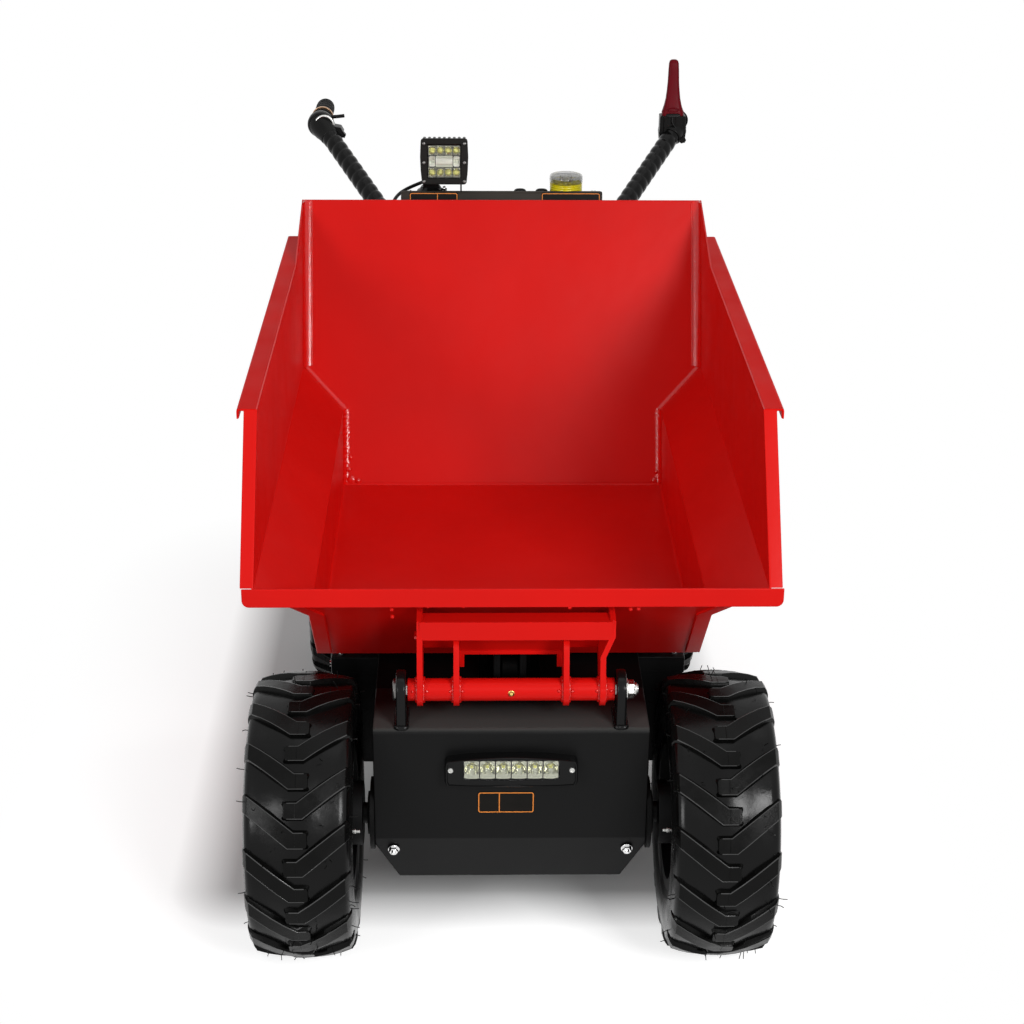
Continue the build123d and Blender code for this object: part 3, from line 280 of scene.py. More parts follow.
class Shader:
    """A material whose colour, roughness and bump come from noise."""

    def __init__(self, name, colour, rough, metal=0.0, coat=0.0, shine=0.5, clear=0.0, bend=None):
        self.material = bpy.data.materials.new(name)
        self.material.use_nodes = True
        self.tree = self.material.node_tree
        self.shader = self.tree.nodes["Principled BSDF"]
        self.shader.inputs["Base Color"].default_value = (*colour, 1)
        self.shader.inputs["Metallic"].default_value = metal
        self.shader.inputs["Roughness"].default_value = rough
        self.shader.inputs["Specular IOR Level"].default_value = shine
        self.shader.inputs["Coat Weight"].default_value = coat
        self.shader.inputs["Coat Roughness"].default_value = 0.08
        self.shader.inputs["Transmission Weight"].default_value = clear
        if bend:
            self.shader.inputs["IOR"].default_value = bend
        self.colour = colour
        self.rough = rough
        self.height = None
        self.place = self.node("ShaderNodeTexCoord").outputs["Object"]

    def node(self, kind, **settings):
        """A new node with the settings."""
        node = self.tree.nodes.new(kind)
        for name, value in settings.items():
            setattr(node, name, value)
        return node

    def join(self, start, end):
        """A link from an output to an input."""
        self.tree.links.new(start, end)

    def noise(self, scale, detail=3.0):
        """A noise texture's value, with the given number of features to a metre."""
        texture = self.node("ShaderNodeTexNoise")
        texture.inputs["Scale"].default_value = scale
        texture.inputs["Detail"].default_value = detail
        self.join(self.place, texture.inputs["Vector"])
        return texture.outputs["Fac"]

    def ranged(self, value, low, high, start=0.3, end=0.7):
        """The value mapped from start..end to low..high."""
        ranged = self.node("ShaderNodeMapRange")
        for name, number in (("From Min", start), ("From Max", end), ("To Min", low), ("To Max", high)):
            ranged.inputs[name].default_value = number
        self.join(value, ranged.inputs["Value"])
        return ranged.outputs["Result"]

    def product(self, first, second):
        """One value times another."""
        product = self.node("ShaderNodeMath", operation="MULTIPLY")
        self.join(first, product.inputs[0])
        self.join(second, product.inputs[1])
        return product.outputs["Value"]

    def emission(self, strength):
        """White light of a strength."""
        glow = self.node("ShaderNodeEmission")
        glow.inputs["Color"].default_value = (*WHITE, 1)
        self.join(strength, glow.inputs["Strength"])
        return glow.outputs["Emission"]

    def mixed(self, factor, first, second):
        """A colour between two colours."""
        mix = self.node("ShaderNodeMix", data_type="RGBA")
        self.join(factor, mix.inputs["Factor"])
        for name, colour in ((6, first), (7, second)):
            if isinstance(colour, tuple):
                mix.inputs[name].default_value = (*colour, 1)
            else:
                self.join(colour, mix.inputs[name])
        return mix.outputs[2]

    def clouded(self, scale, spread):
        """Colour that varies slowly over the surface."""
        dark = tuple(part * (1 - spread) for part in self.colour)
        light = tuple(part * (1 + spread) for part in self.colour)
        self.paint(self.mixed(self.ranged(self.noise(scale), 0, 1), dark, light))

    def painted_top_light(self, pale, start, end):
        """Painted light on faces that point up: a paler tone, which fades out from start to end along Y into
        the plain colour of the shaded rear.
        """
        normal = self.node("ShaderNodeSeparateXYZ")
        self.join(self.node("ShaderNodeTexCoord").outputs["Normal"], normal.inputs[0])
        spot = self.node("ShaderNodeSeparateXYZ")
        self.join(self.place, spot.inputs[0])
        up_light = self.ranged(normal.outputs["Z"], 0, 1, 0.55, 1.0)
        unshaded = self.ranged(spot.outputs["Y"], 1, 0, start, end)
        self.paint(self.mixed(self.product(up_light, unshaded), self.colour, pale))

    def paint(self, colour):
        """Takes the base colour from an output."""
        self.join(colour, self.shader.inputs["Base Color"])

    def smeared(self, scale, spread):
        """Roughness that varies over the surface."""
        rough = self.ranged(self.noise(scale, 4), self.rough - spread, self.rough + spread)
        self.join(rough, self.shader.inputs["Roughness"])

    def bumped(self, value, depth):
        """Adds a height in millimetres to the surface."""
        bump = self.node("ShaderNodeBump")
        bump.inputs["Distance"].default_value = depth * MM
        if self.height:
            self.join(self.height, bump.inputs["Normal"])
        self.join(value, bump.inputs["Height"])
        self.height = bump.outputs["Normal"]
        self.join(self.height, self.shader.inputs["Normal"])


RED = (0.66, 0.0062, 0.0042)
BLACK = (0.0045, 0.0045, 0.0046)
PAINTED_TOP_LIGHT = (0.055, 0.055, 0.053)          # painted light: a paler tone on the front cover's top, which is lit more than its front
PAINTED_TOP_LIGHT_START, PAINTED_TOP_LIGHT_END = 30, 85         # where that painted light fades into the bucket's shade, back from the cover's front
LENS = {"clear": 1.0, "bend": 1.3}    # clear plastic
METAL = {"metal": 1.0}


def grey(level):
    """A colour with the same red, green and blue."""
    return (level, level, level)


# Each finish: name, colour, roughness and what else its surface has, then its noises: scale and
# spread of the colour, scale and spread of the roughness, and scale, detail and depth in
# millimetres of each bump. A scale is the number of features to a metre.
FINISHES = {
    "red": ("red_enamel", RED, 0.33, {"shine": 0.13}, (5, 0.05), (9, 0.05),
            (420, 2, 0.10), (28, 2, 0.35)),
    "weld": ("red_weld", RED, 0.16, {}, (60, 0.08), (90, 0.05), (240, 3, 0.5)),
    "black": ("satin_black", BLACK, 0.42, {"shine": 0.12}, (7, 0.18), (12, 0.06), (900, 2, 0.05)),
    "cover": ("cover_black", BLACK, 0.40, {"shine": 0.12}, None, (12, 0.06), (900, 2, 0.05)),
    # inner: a darker, less glossy copy of the black for parts that sit in shade: painted shade.
    "inner": ("inner_black", grey(0.0025), 0.6, {"shine": 0.03}, (7, 0.18), (12, 0.06),
              (900, 2, 0.05)),
    "rim": ("rim_enamel", RED, 0.46, {"shine": 0.03}, (6, 0.05), (14, 0.06), (420, 2, 0.08)),
    "gloss_black": ("gloss_black", BLACK, 0.22, {"shine": 0.16}, (9, 0.15), (20, 0.07),
                    (600, 2, 0.05)),
    "cast": ("cast_black", grey(0.006), 0.5, {"shine": 0.08}, (15, 0.25), (25, 0.08),
             (500, 4, 0.35)),
    "tread": ("tread_rubber", (0.0024, 0.0024, 0.0023), 0.29, {"shine": 0.10}, (30, 0.22),
              (60, 0.07), (700, 5, 0.12), (90, 3, 0.25)),
    "carcass": ("carcass_rubber", grey(0.0021), 0.23, {"shine": 0.155}, (14, 0.2), (22, 0.08),
                (60, 2, 0.35), (800, 2, 0.04)),
    "edge": ("edge_rubber", grey(0.003), 0.20, {"shine": 0.9}, (30, 0.2), (60, 0.05),
             (500, 3, 0.1)),
    "rubber": ("matt_rubber", grey(0.006), 0.6, {"shine": 0.08}, (40, 0.2), (60, 0.08),
               (1200, 3, 0.1)),
    "plastic": ("black_plastic", (0.005, 0.005, 0.0049), 0.34, {"shine": 0.12}, (30, 0.15),
                (60, 0.06), (1500, 2, 0.06)),
    "crimson": ("crimson_plastic", (0.125, 0.0012, 0.006), 0.42, {"shine": 0.08}, (30, 0.12),
                (60, 0.05), (900, 2, 0.04)),
    "zinc": ("zinc_plate", (0.62, 0.62, 0.60), 0.26, METAL, (120, 0.12), (150, 0.1),
             (900, 3, 0.03)),
    "chrome": ("chrome", grey(0.80), 0.08, METAL, (60, 0.05), (90, 0.03)),
    "dull": ("dull_steel", (0.17, 0.165, 0.16), 0.3, METAL, (90, 0.15), (120, 0.08),
             (700, 3, 0.04)),
    "copper": ("copper_ring", (0.42, 0.25, 0.14), 0.3, METAL, (90, 0.12), (120, 0.06)),
    "brass": ("brass", (0.62, 0.42, 0.13), 0.25, METAL, (150, 0.15), (200, 0.08)),
    "reflector": ("reflector", (0.56, 0.55, 0.46), 0.13, METAL, (300, 0.06), (400, 0.06),
                  (260, 1, 0.35)),
    "chip": ("led_phosphor", (0.90, 0.84, 0.25), 0.4, {"coat": 0.5}, (500, 0.1), (300, 0.05)),
    "orange": ("orange_print", (0.78, 0.25, 0.045), 0.4, {"shine": 0.2}, (90, 0.08), (90, 0.05)),
    "label": ("label_black", (0.008, 0.007, 0.006), 0.36, {"shine": 0.08}, (60, 0.12),
              (90, 0.05)),
    "clear": ("clear_lens", (0.86, 0.88, 0.86), 0.05, LENS, (80, 0.02), None, (300, 2, 0.03)),
    "dome": ("smoked_lens", (0.46, 0.46, 0.45), 0.05, LENS, (80, 0.02), None, (300, 2, 0.03)),
    "cable": ("cable_sheath", grey(0.006), 0.32, {"shine": 0.12}, (60, 0.15), (90, 0.06),
              (900, 2, 0.03)),
    "loom": ("loom_wrap", grey(0.003), 0.19, {"shine": 0.13}, (40, 0.2), (120, 0.07),
             (700, 3, 0.08)),
    "lamp": ("lamp_casting", (0.0085, 0.0080, 0.0072), 0.42, {"shine": 0.10}, (60, 0.15),
             (90, 0.07), (900, 3, 0.09)),
    "console": ("console_coat", (0.034, 0.029, 0.024), 0.46, {"shine": 0.12}, (12, 0.12),
                (30, 0.06), (1100, 3, 0.07)),
    "pearl": ("pearl_diffuser", (0.83, 0.83, 0.74), 0.2, {"coat": 0.5}, (120, 0.06), (200, 0.05)),
    "yellow": ("yellow_lens", (0.84, 0.71, 0.008), 0.26,
               {"coat": 0.1, "shine": 0.25, "clear": 0.25}, (60, 0.06), (80, 0.05)),
}


def make_materials():
    """Every finish's material by its short name."""
    made = {}
    for key, (name, colour, rough, extras, cloud, smear, *bumps) in FINISHES.items():
        shader = Shader(name, colour, rough, **extras)
        if cloud:
            shader.clouded(*cloud)
        if smear:
            shader.smeared(*smear)
        # The front cover's top gets painted light, fading out towards its shaded rear.
        if key == "cover":
            front = box("front_cover")[0].y
            shader.painted_top_light(PAINTED_TOP_LIGHT, (front + PAINTED_TOP_LIGHT_START) * MM, (front + PAINTED_TOP_LIGHT_END) * MM)
        for scale, detail, depth in bumps:
            shader.bumped(shader.noise(scale, detail), depth)
        made[key] = shader.material
    return made


FINISH = make_materials()

# ---------------------------------------------------------------- camera

CAMERA_ACROSS, CAMERA_AHEAD, CAMERA_UP = -55.6, 2472.5, 1774.9    # from the front axle and floor
CAMERA_TURNS = (1.27, 23.88, 0.446)   # yaw, pitch and roll in degrees


def make_camera():
    """The photograph's viewpoint, from the front and above."""
    place = Vector((CAMERA_ACROSS, middle("front_tyre_left").y - CAMERA_AHEAD, CAMERA_UP)) * MM
    yaw, pitch, roll = (math.radians(degrees) for degrees in CAMERA_TURNS)
    flat = math.cos(pitch)
    ahead = Vector((math.sin(yaw) * flat, math.cos(yaw) * flat, -math.sin(pitch)))
    level = ahead.cross(Vector((0, 0, 1))).normalized()
    above = level.cross(ahead)
    right = level * math.cos(roll) + above * math.sin(roll)
    up = above * math.cos(roll) - level * math.sin(roll)
    turn = Matrix((right, up, -ahead)).transposed().to_4x4()
    camera = bpy.data.objects.new("camera", bpy.data.cameras.new("camera"))
    camera.data.lens = 70.3
    camera.data.clip_end = 50
    camera.matrix_world = Matrix.Translation(place) @ turn
    bpy.context.scene.collection.objects.link(camera)
    bpy.context.scene.camera = camera


make_camera()

# ---------------------------------------------------------------- places in the frame

AXLE = middle("front_tyre_left")
PIVOT = middle("pivot_tube")
COVER = box("front_cover")
SHEET = 3                     # thickness of the bucket's sheets

# The console's section: how far each corner is back from the front axle, and up
CONSOLE = box("console_box")
CONSOLE_EDGE, CONSOLE_TOP = 1081, 840         # front top corner
CONSOLE_REAR, CONSOLE_REAR_TOP = 1236, 769    # rear top corner
CONSOLE_HEEL, CONSOLE_TOE, CONSOLE_UNDER = 1222, 1040, 690        # its lower corners
CONSOLE_CORE = (1140, 762)                    # about its middle
CONSOLE_FALL = (CONSOLE_TOP - CONSOLE_REAR_TOP) / (CONSOLE_REAR - CONSOLE_EDGE)


def behind(back):
    """The row frame's Y of a place measured back from the front axle."""
    return AXLE.y + back


def console_up(y):
    """Height of the console's sloping top at a place along Y."""
    return CONSOLE_TOP - (y - behind(CONSOLE_EDGE)) * CONSOLE_FALL


def console_place(x, back):
    """A place on the console's top, with Z out of it."""
    y = behind(back)
    return facing((x, y, console_up(y)), (0, CONSOLE_FALL, 1))


# ---------------------------------------------------------------- lamp lead

LEAD_RADIUS = 3.2
LEAD_POINTS = (               # metres in the row frame, from the lamp's gland to the console
    (-0.118, 0.5230, 0.8478),
    (-0.118, 0.5393, 0.8449),
    (-0.126, 0.5530, 0.8400),
    (-0.141, 0.5610, 0.8330),
    (-0.159, 0.5610, 0.8260),
    (-0.176, 0.5530, 0.8200),
    (-0.189, 0.5380, 0.8150),
    (-0.197, 0.5190, 0.8090),
    (-0.200, 0.5000, 0.8020),
    (-0.199, 0.4860, 0.7940),
    (-0.194, 0.4770, 0.7870),
    (-0.183, 0.4770, 0.7870),
)
SLEEVE_RADIUS = 5.6
SLEEVE_TAPER = 1.7
SLEEVE_RIBS = 4


def make_lead():
    """The work lamp's lead, a smooth cord from the lamp's back to the console's side."""
    data = bpy.data.curves.new("lamp_cord", "CURVE")
    data.dimensions = "3D"
    spline = data.splines.new("NURBS")
    spline.points.add(len(LEAD_POINTS) - 1)
    for point, place in zip(spline.points, LEAD_POINTS):
        point.co = (*place, 1)
    spline.order_u = 3
    spline.use_endpoint_u = True
    spline.resolution_u = 12
    data.bevel_depth = LEAD_RADIUS * MM
    data.bevel_resolution = 5
    data.materials.append(FINISH["cable"])
    lead = bpy.data.objects.new("lamp_cord", data)
    bpy.context.scene.collection.objects.link(lead)
    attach(lead, "chassis")
    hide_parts("lamp_lead")
    sleeve = Piece()
    for end, ahead, long in ((0, 1, 13), (-1, -2, 8)):
        start = Vector(LEAD_POINTS[end]) / MM
        profile = [(SLEEVE_RADIUS, -1.5)]
        for i in range(SLEEVE_RIBS):
            wide = SLEEVE_RADIUS - SLEEVE_TAPER * i / SLEEVE_RIBS
            for share, inset in ((0, 0), (0.6, 0), (0.7, 0.7)):
                profile.append((wide - inset, long * (i + share) / SLEEVE_RIBS))
        profile.append((LEAD_RADIUS + 0.4, long))
        sleeve.lathe(profile, facing(start, Vector(LEAD_POINTS[ahead]) / MM - start), 24)
    sleeve.finish("lamp_cord_sleeves", "rubber", bevel=0.25)


make_lead()

# ---------------------------------------------------------------- tyres

TYRE_STEPS = 128
LUGS = 16
LUG_RADIUS = 200              # radii at which lengths round the tyre are measured: lugs' tops,
FOOT_RADIUS = 195             # their feet,
SHOULDER_RADIUS = 196         # and their ends on the shoulder
LUG_DRAFT = 3.0               # how far a lug's foot spreads
LUG_WALL = 3.0                # depth of its steep wall, which spreads by
WALL_DRAFT = 0.4
LUG_FOOT = 8.0                # depth at which its foot ends
LUG_ROOT = 174                # radius of the lugs' roots, inside the carcass
LUG_NOSE = -12                # a lug's foot also spreads across the centre, up to this u
LUG_PLAN = (                  # low u, low v, high u, high v: across from the centre, then round
    (-16, 5, -16, 17),
    (-15, 1.5, -15, 21),
    (-11, 0, -11, 22),
    (10, 0, 2, 22),
    (24.2, 11.2, 18.2, 34.4),
    (38.5, 22.5, 34.5, 46.7),
    (52.8, 33.8, 50.8, 59.1),
    (66.5, 44.6, 66.5, 71.0),
)
SHOULDER = ((71.0, 188), (73.2, 181), (73.6, 172))   # u, radius past the lug's plan
SHOULDER_EDGES = (47, 73)     # v of the lug's two edges there,
SHOULDER_TAPER = 1.2          # and how much each closes in from one row to the next
SHOULDER_FLANK = ((9, 1), (5, 1), (1.5, 0.3), (0, 0))         # depth, share of the draft
EDGE_INSET = 0.7              # the glossy rounded edges' centre lines, inside the lugs' corners
EDGE_RADIUS = 0.85
SEAM = (1.5, 8, 15, 20.5)     # v of the moulding seam over each lug
WHISKERS = 100
CARCASS = (                   # u, radius of half the carcass, centre to bead
    (0, 198.4), (10, 198.0), (18, 196.9), (25, 195.5), (32, 194.0), (40, 192.4), (50, 190.9),
    (58, 189.8), (65, 188.2), (69.5, 184.2), (71.6, 178.8), (72.4, 173.0), (73.6, 169.5),
    (73.9, 167.5), (73.2, 166.2), (74.6, 158), (74.9, 150), (74.2, 141), (72.4, 131),
    (71.2, 128.6), (71.2, 126.6), (69.6, 124.5), (66.8, 118), (64.6, 113.4), (63.1, 111.5),
    (63, 102.3),
)


def crown(u):
    """Radius of a front tyre's lug tops."""
    return 204.6 - 10.2 * (u / 67) ** 2


def make_tyre(name, side, phase, size):
    """A lugged tyre in place of a CAD tyre; size is its share of the front tyre."""
    node = f"{name}_tyre_{side}"
    body = f"{name}_wheel_{side}"
    centre = middle(node)

    def around(u, radius, turn):
        """A point u across from the tyre's middle, turned from its front towards its top."""
        reach = radius * size
        return centre + Vector((u * size, -reach * math.cos(turn), reach * math.sin(turn)))

    def flank(own, start, u, v, way):
        """One side of a lug's section, from root to top."""
        foot_u = own * (u - (LUG_DRAFT if u < LUG_NOSE else 0))
        foot = start + (v + way * LUG_DRAFT) / FOOT_RADIUS
        return [around(foot_u, LUG_ROOT, foot),
                around(foot_u, crown(u) - LUG_FOOT, foot),
                around(own * u, crown(u) - LUG_WALL, start + (v + way * WALL_DRAFT) / LUG_RADIUS),
                around(own * u, crown(u), start + v / LUG_RADIUS)]

    def shoulder_flank(own, start, u, radius, v, way):
        """One side of a lug's section on the shoulder, from root to top."""
        edge = start + v / SHOULDER_RADIUS
        return [around(own * (u - depth), radius - depth, edge + way * share * LUG_DRAFT / FOOT_RADIUS)
                for depth, share in SHOULDER_FLANK]

    profile = [(-u, radius) for u, radius in reversed(CARCASS)] + list(CARCASS[1:])
    turns = [2 * math.pi * i / TYRE_STEPS for i in range(TYRE_STEPS)]
    carcass = Piece()
    carcass.loop([[around(u, radius, turn) for turn in turns] for u, radius in profile])
    carcass.finish(f"{name}_carcass_{side}", "carcass", body, sharp=60, replaces=[node])

    tread = Piece()
    edges = Piece()
    for own in (-1, 1):
        for lug in range(LUGS):
            start = phase + (lug + (0.5 if own > 0 else 0)) * 2 * math.pi / LUGS
            sections = [flank(own, start, low_u, low_v, -1) + flank(own, start, high_u, high_v, 1)[::-1]
                        for low_u, low_v, high_u, high_v in LUG_PLAN]
            for step, (u, radius) in enumerate(SHOULDER):
                low_v, high_v = SHOULDER_EDGES
                shrink = SHOULDER_TAPER * step
                sections.append(shoulder_flank(own, start, u, radius, low_v + shrink, -1)
                                + shoulder_flank(own, start, u, radius, high_v - shrink, 1)[::-1])
            tread.rings(sections)
            for first, inset in ((0, EDGE_INSET), (2, -EDGE_INSET)):
                corners = [plan[first:first + 2] for plan in LUG_PLAN[2:]]
                edges.bar([around(own * u, crown(u) - EDGE_INSET, start + (v + inset) / LUG_RADIUS)
                           for u, v in corners], EDGE_RADIUS, 6)
    tread.finish(f"{name}_tread_{side}", "tread", body, bevel=1.7 * size, sharp=30)
    edges.finish(f"{name}_edges_{side}", "edge", body)

    hairs = Piece()
    for lug in range(2 * LUGS):
        start = phase + lug * math.pi / LUGS
        hairs.bar([around(0, crown(0) - 0.1, start + v / LUG_RADIUS) for v in SEAM], 0.45, 6)
    for _ in range(WHISKERS):
        own = rng.choice((-1, 1))
        turn = rng.uniform(0, 2 * math.pi)
        u, out = own * rng.uniform(4, 62), (rng.uniform(-0.5, 0.5), 1)
        radius = crown(u) - 2.5
        if rng.random() < 0.3:
            u, radius, out = own * 71.5, rng.uniform(172, 186), (own, rng.uniform(0, 0.5))
        length = rng.uniform(6, 12) * size ** 2
        if math.sin(turn) < -0.92 or (size < 1 and abs(u) > 71):
            continue      # none under the tyre, nor on a rear tyre's side, which the fork passes
        root = around(u, radius, turn)
        ahead = (around(u + out[0] * 10, radius + out[1] * 10, turn) - root).normalized()
        bow = Vector((rng.uniform(-2, 2), rng.uniform(-2, 2), rng.uniform(-2, 2)))
        hairs.bar([root, root + ahead * length * 0.5, root + ahead * length + bow], 0.6, 5)
    hairs.finish(f"{name}_whiskers_{side}", "tread", body)


FRONT_PHASE = {"right": -0.0685, "left": 0.078}
REAR_PHASE = 0.1
REAR_SIZE = box("rear_tyre_left")[1].z / box("front_tyre_left")[1].z
for side, _ in SIDES:
    make_tyre("front", side, FRONT_PHASE[side], 1.0)
    make_tyre("rear", side, REAR_PHASE, REAR_SIZE)

# ---------------------------------------------------------------- handles

HANDLE = (                    # the right handlebar's centre line, mirrored for the left
    (-183, 501, 776),
    (-207, 501, 776),
    (-341, 700, 908),
    (-339, 813.9, 915),
)
LOOM_RADIUS = 15.1
LOOM_SWELL = 2.1
LOOM_PITCH = 20.0


def handle_line(side):
    """The handlebar's corner points on one side."""
    return [Vector((-side * x, y, z)) for x, y, z in HANDLE]


def along(start, end, distance):
    """The place that far from start towards end, with Z on towards end."""
    return facing(start + (end - start).normalized() * distance, end - start)


EASE_STEPS = 10


def eased(points, radius=17):
    """A path whose corners are rounded, with points about every 2 mm on its runs."""
    corners = [points[0]]
    for before, corner, after in zip(points, points[1:], points[2:]):
        into = (before - corner).normalized()
        away = (after - corner).normalized()
        cut = radius / math.tan(into.angle(away) / 2)
        for step in range(EASE_STEPS + 1):
            t = step / EASE_STEPS
            corners.append((corner + into * cut) * (1 - t) ** 2 + corner * 2 * t * (1 - t)
                           + (corner + away * cut) * t * t)
    corners.append(points[-1])
    path = []
    for start, end in zip(corners, corners[1:]):
        count = max(1, round((end - start).length / 2))
        path += [start.lerp(end, i / count) for i in range(count)]
    return path + [corners[-1]]


def make_loom(name, side):
    """The spiral sleeve over one handlebar, from the console to the grip's fittings."""
    line = handle_line(side)
    bend = line[2]
    path = eased(line)
    lengths = [0.0]
    for before, after in zip(path, path[1:]):
        lengths.append(lengths[-1] + (after - before).length)
    last = max(i for i, point in enumerate(path) if (point - bend).length < 20 and point.y < bend.y)
    first = min(i for i, length in enumerate(lengths) if length > 4)

    def swell(i, turn):
        """How far the sleeve's spiral stands out at a point of its skin."""
        wave = (lengths[i + first] / LOOM_PITCH + side * turn / (2 * math.pi)) % 1.0
        return LOOM_SWELL * (abs(math.sin(math.pi * wave)) ** 0.55)

    loom = Piece()
    loom.bar(path[first:last], LOOM_RADIUS, 40, swell)
    loom.finish(f"loom_{name}", "loom", sharp=50, replaces=["handle_sleeves"])


GRIP_START = 27               # along the handlebar from its bend
GRIP_END = 116.5
GRIP_NECK = 6                 # length of the grip's flange,
GRIP_TAIL = 8                 # and of its domed end
GRIP_RIBS = 5


def make_grip(name, side):
    """A moulded grip with a flange, ribs between its finger grooves and a domed end."""
    _, _, bend, tip = handle_line(side)
    profile = [(radius, GRIP_START + height) for radius, height in (
        (12.6, 0), (20.5, 0), (20.8, 2), (20, 4.5), (17.2, GRIP_NECK))]
    length = GRIP_END - GRIP_START - GRIP_NECK - GRIP_TAIL
    for step in range(61):
        t = step / 60
        wave = abs(math.sin(math.pi * GRIP_RIBS * t)) ** 0.6
        profile.append((16.6 + 1.3 * wave, GRIP_START + GRIP_NECK + length * t))
    profile += [(radius, GRIP_END - height) for radius, height in (
        (17.4, 6), (16.8, 2.6), (14.6, 0.7), (11, 0))]
    grip = Piece()
    grip.lathe(profile, along(bend, tip, 0), 40)
    grip.finish(f"grip_{name}", "rubber", sharp=40, replaces=["grips"])


def make_throttle():
    """The thumb throttle at the right grip: bell housing, bright collar, switch box and lever."""
    _, elbow, bend, tip = handle_line(-1)
    back = along(bend, tip, 0)
    bell = Piece()
    bell.lathe([(14, 40), (17.5, 40), (18.4, 38), (19.2, 30), (22.0, 20), (24.0, 8), (24.6, 0),
                (23.6, -5), (18, -9)], along(bend, elbow, 0), 48)
    bell.lathe([(13, -12), (22.6, -12), (24.4, -9), (25.0, -3), (24.6, 5), (22.4, 9.5), (18, 10.5)],
               back, 48)
    switch = at(bend.x + 30, bend.y - 12, bend.z - 14) @ fronted()
    plan = [(-16, -15), (2, -17), (12, -8), (14, 3), (9, 12), (-6, 15), (-16, 8)]
    bell.prism(rounded(plan, 3), -13, 13, switch)
    bell.prism(rounded([(6, -4), (15, -10), (18, -4), (14, 1)], 1), -6, 6, switch)
    bell.finish("throttle_bell", "plastic", bevel=0.8, replaces=["throttle_housing"])
    peg = Piece()
    peg.bar([bend + Vector(reach) for reach in ((17, 0, 13), (30, 1, 13.5), (41, 2, 14.5), (45, 2.4, 15))],
            3.4, 16)
    peg.finish("throttle_lever", "plastic", bevel=0.8)
    trim = Piece()
    trim.lathe([(12.6, 10), (18.6, 10), (18.8, 11), (18.8, GRIP_START - 1), (18.2, GRIP_START)],
               back, 48)
    trim.finish("throttle_collar", "chrome", bevel=0.4)
    rim = Piece()
    arc = [math.radians(degrees) for degrees in range(-10, 200, 10)]
    rim.bar([bend + Vector((8 + 17 * math.cos(t), -19, 2 + 17 * math.sin(t))) for t in arc], 2.3, 12)
    rim.finish("throttle_ring", "zinc")
    band = Piece()
    band.lathe([(17, 40), (20.6, 40), (21, 41), (21, 45), (20.6, 46), (17, 46)], back, 48)
    band.finish("throttle_band", "copper", bevel=0.3)


LEVER_SECTIONS = (            # share of its length, width, depth
    (0.0, 41, 24), (0.05, 41.5, 25), (0.10, 38, 24), (0.18, 33, 21.5), (0.30, 27.5, 18.5),
    (0.45, 24, 16.5), (0.6, 21.5, 15.5), (0.8, 20, 14.5), (0.93, 18.5, 13.5),
    (0.975, 15.5, 11.5), (0.995, 10, 8), (1.0, 5, 4),
)
LEVER_LEAN = 12               # how far back its tip leans


def make_clamp_and_lever():
    """The split clamp on the left grip and the crimson hand lever that stands on it."""
    _, elbow, bend, _ = handle_line(1)
    low, high = box("hand_lever")
    x = (low.x + high.x) / 2
    y = (low.y + high.y) / 2 - 6
    foot, top = low.z, high.z
    seat = at(x, y, foot - 24) @ fronted()
    clamp = Piece()
    for side in (-1, 1):
        cheek = [(side * 15, -27), (side * 19, -29), (side * 24, -24), (side * 25.5, -8),
                 (side * 24.5, -1), (side * 24.5, 24), (side * 16, 24)]
        clamp.prism(rounded(cheek, 2.5), -16, 10, seat)
    clamp.prism(rounded([(-17, -22), (17, -22), (19, -6), (17, 24), (-17, 24)], 3), -12, 14, seat)
    clamp.lathe([(12.6, 0), (19.5, 0), (20.5, 2), (20.5, 24), (19, 27)], along(bend, elbow, 8), 40)
    for side in (-1, 1):
        jaw = [(side * 4, 0), (side * 12, 0), (side * 10, 23), (side * 4, 23)]
        clamp.prism(rounded(jaw, 1.5), 0, 14.5, at(x, y, foot - 22) @ fronted())
        clamp.prism(circle(6, 6), 14, 18, at(x + side * 20, y - 1, foot - 44) @ fronted())
    clamp.lathe([(20, 0), (19, 4), (16, 6)], at(x, y, foot - 1), 6)
    clamp.finish("lever_clamp_body", "plastic", bevel=0.9, replaces=["lever_clamp"])

    lever = Piece()
    sections = []
    for share, width, depth in LEVER_SECTIONS:
        outline = rectangle(width, depth, min(width, depth) * 0.42, 7)
        sections.append([Vector((x + px, y + 2 + py + LEVER_LEAN * share, foot + (top - foot) * share))
                         for px, py in outline])
    lever.rings(sections)
    lever.finish("hand_lever_blade", "crimson", sharp=60, replaces=["hand_lever"])
    eye = Piece()
    oval = [(11 * math.cos(t), 3.2 * math.sin(t)) for t in [2 * math.pi * i / 40 for i in range(42)]]
    eye.bar([Vector((x + px, y - 10.6 + 0.05 * py, foot + 12 + py)) for px, py in oval], 1.1, 8)
    eye.finish("lever_eye", "crimson")
    route = ((-2, -15, -1), (-2, -17, -12), (12, -17, -30), (22, -12, -40))
    wire = Piece()
    wire.bar(eased([Vector((x + dx, y + dy, foot + dz)) for dx, dy, dz in route], 14), 1.6, 10)
    wire.finish("lever_cable", "gloss_black", slot="black_plastic")


for name, side in SIDES:
    make_loom(name, side)
    make_grip(name, side)
make_throttle()
make_clamp_and_lever()

# ---------------------------------------------------------------- reflectors


def reach_of(x, y, width, height):
    """What x and y are multiplied by to lie on a rectangle about the origin."""
    return min(width / 2 / max(abs(x), 1e-6), height / 2 / max(abs(y), 1e-6))


CUP_STEPS = 24


def disc_ring(radius, level):
    """Points round a circle at one level, none of them straight ahead."""
    turns = [2 * math.pi * (i + 0.5) / CUP_STEPS for i in range(CUP_STEPS)]
    return [(radius * math.cos(turn), radius * math.sin(turn), level) for turn in turns]


def tile_ring(width, height, level):
    """Points round a rectangle at one level, turned like disc_ring's."""
    return [(x * reach_of(x, y, width, height), y * reach_of(x, y, width, height), level)
            for x, y, _ in disc_ring(1, level)]


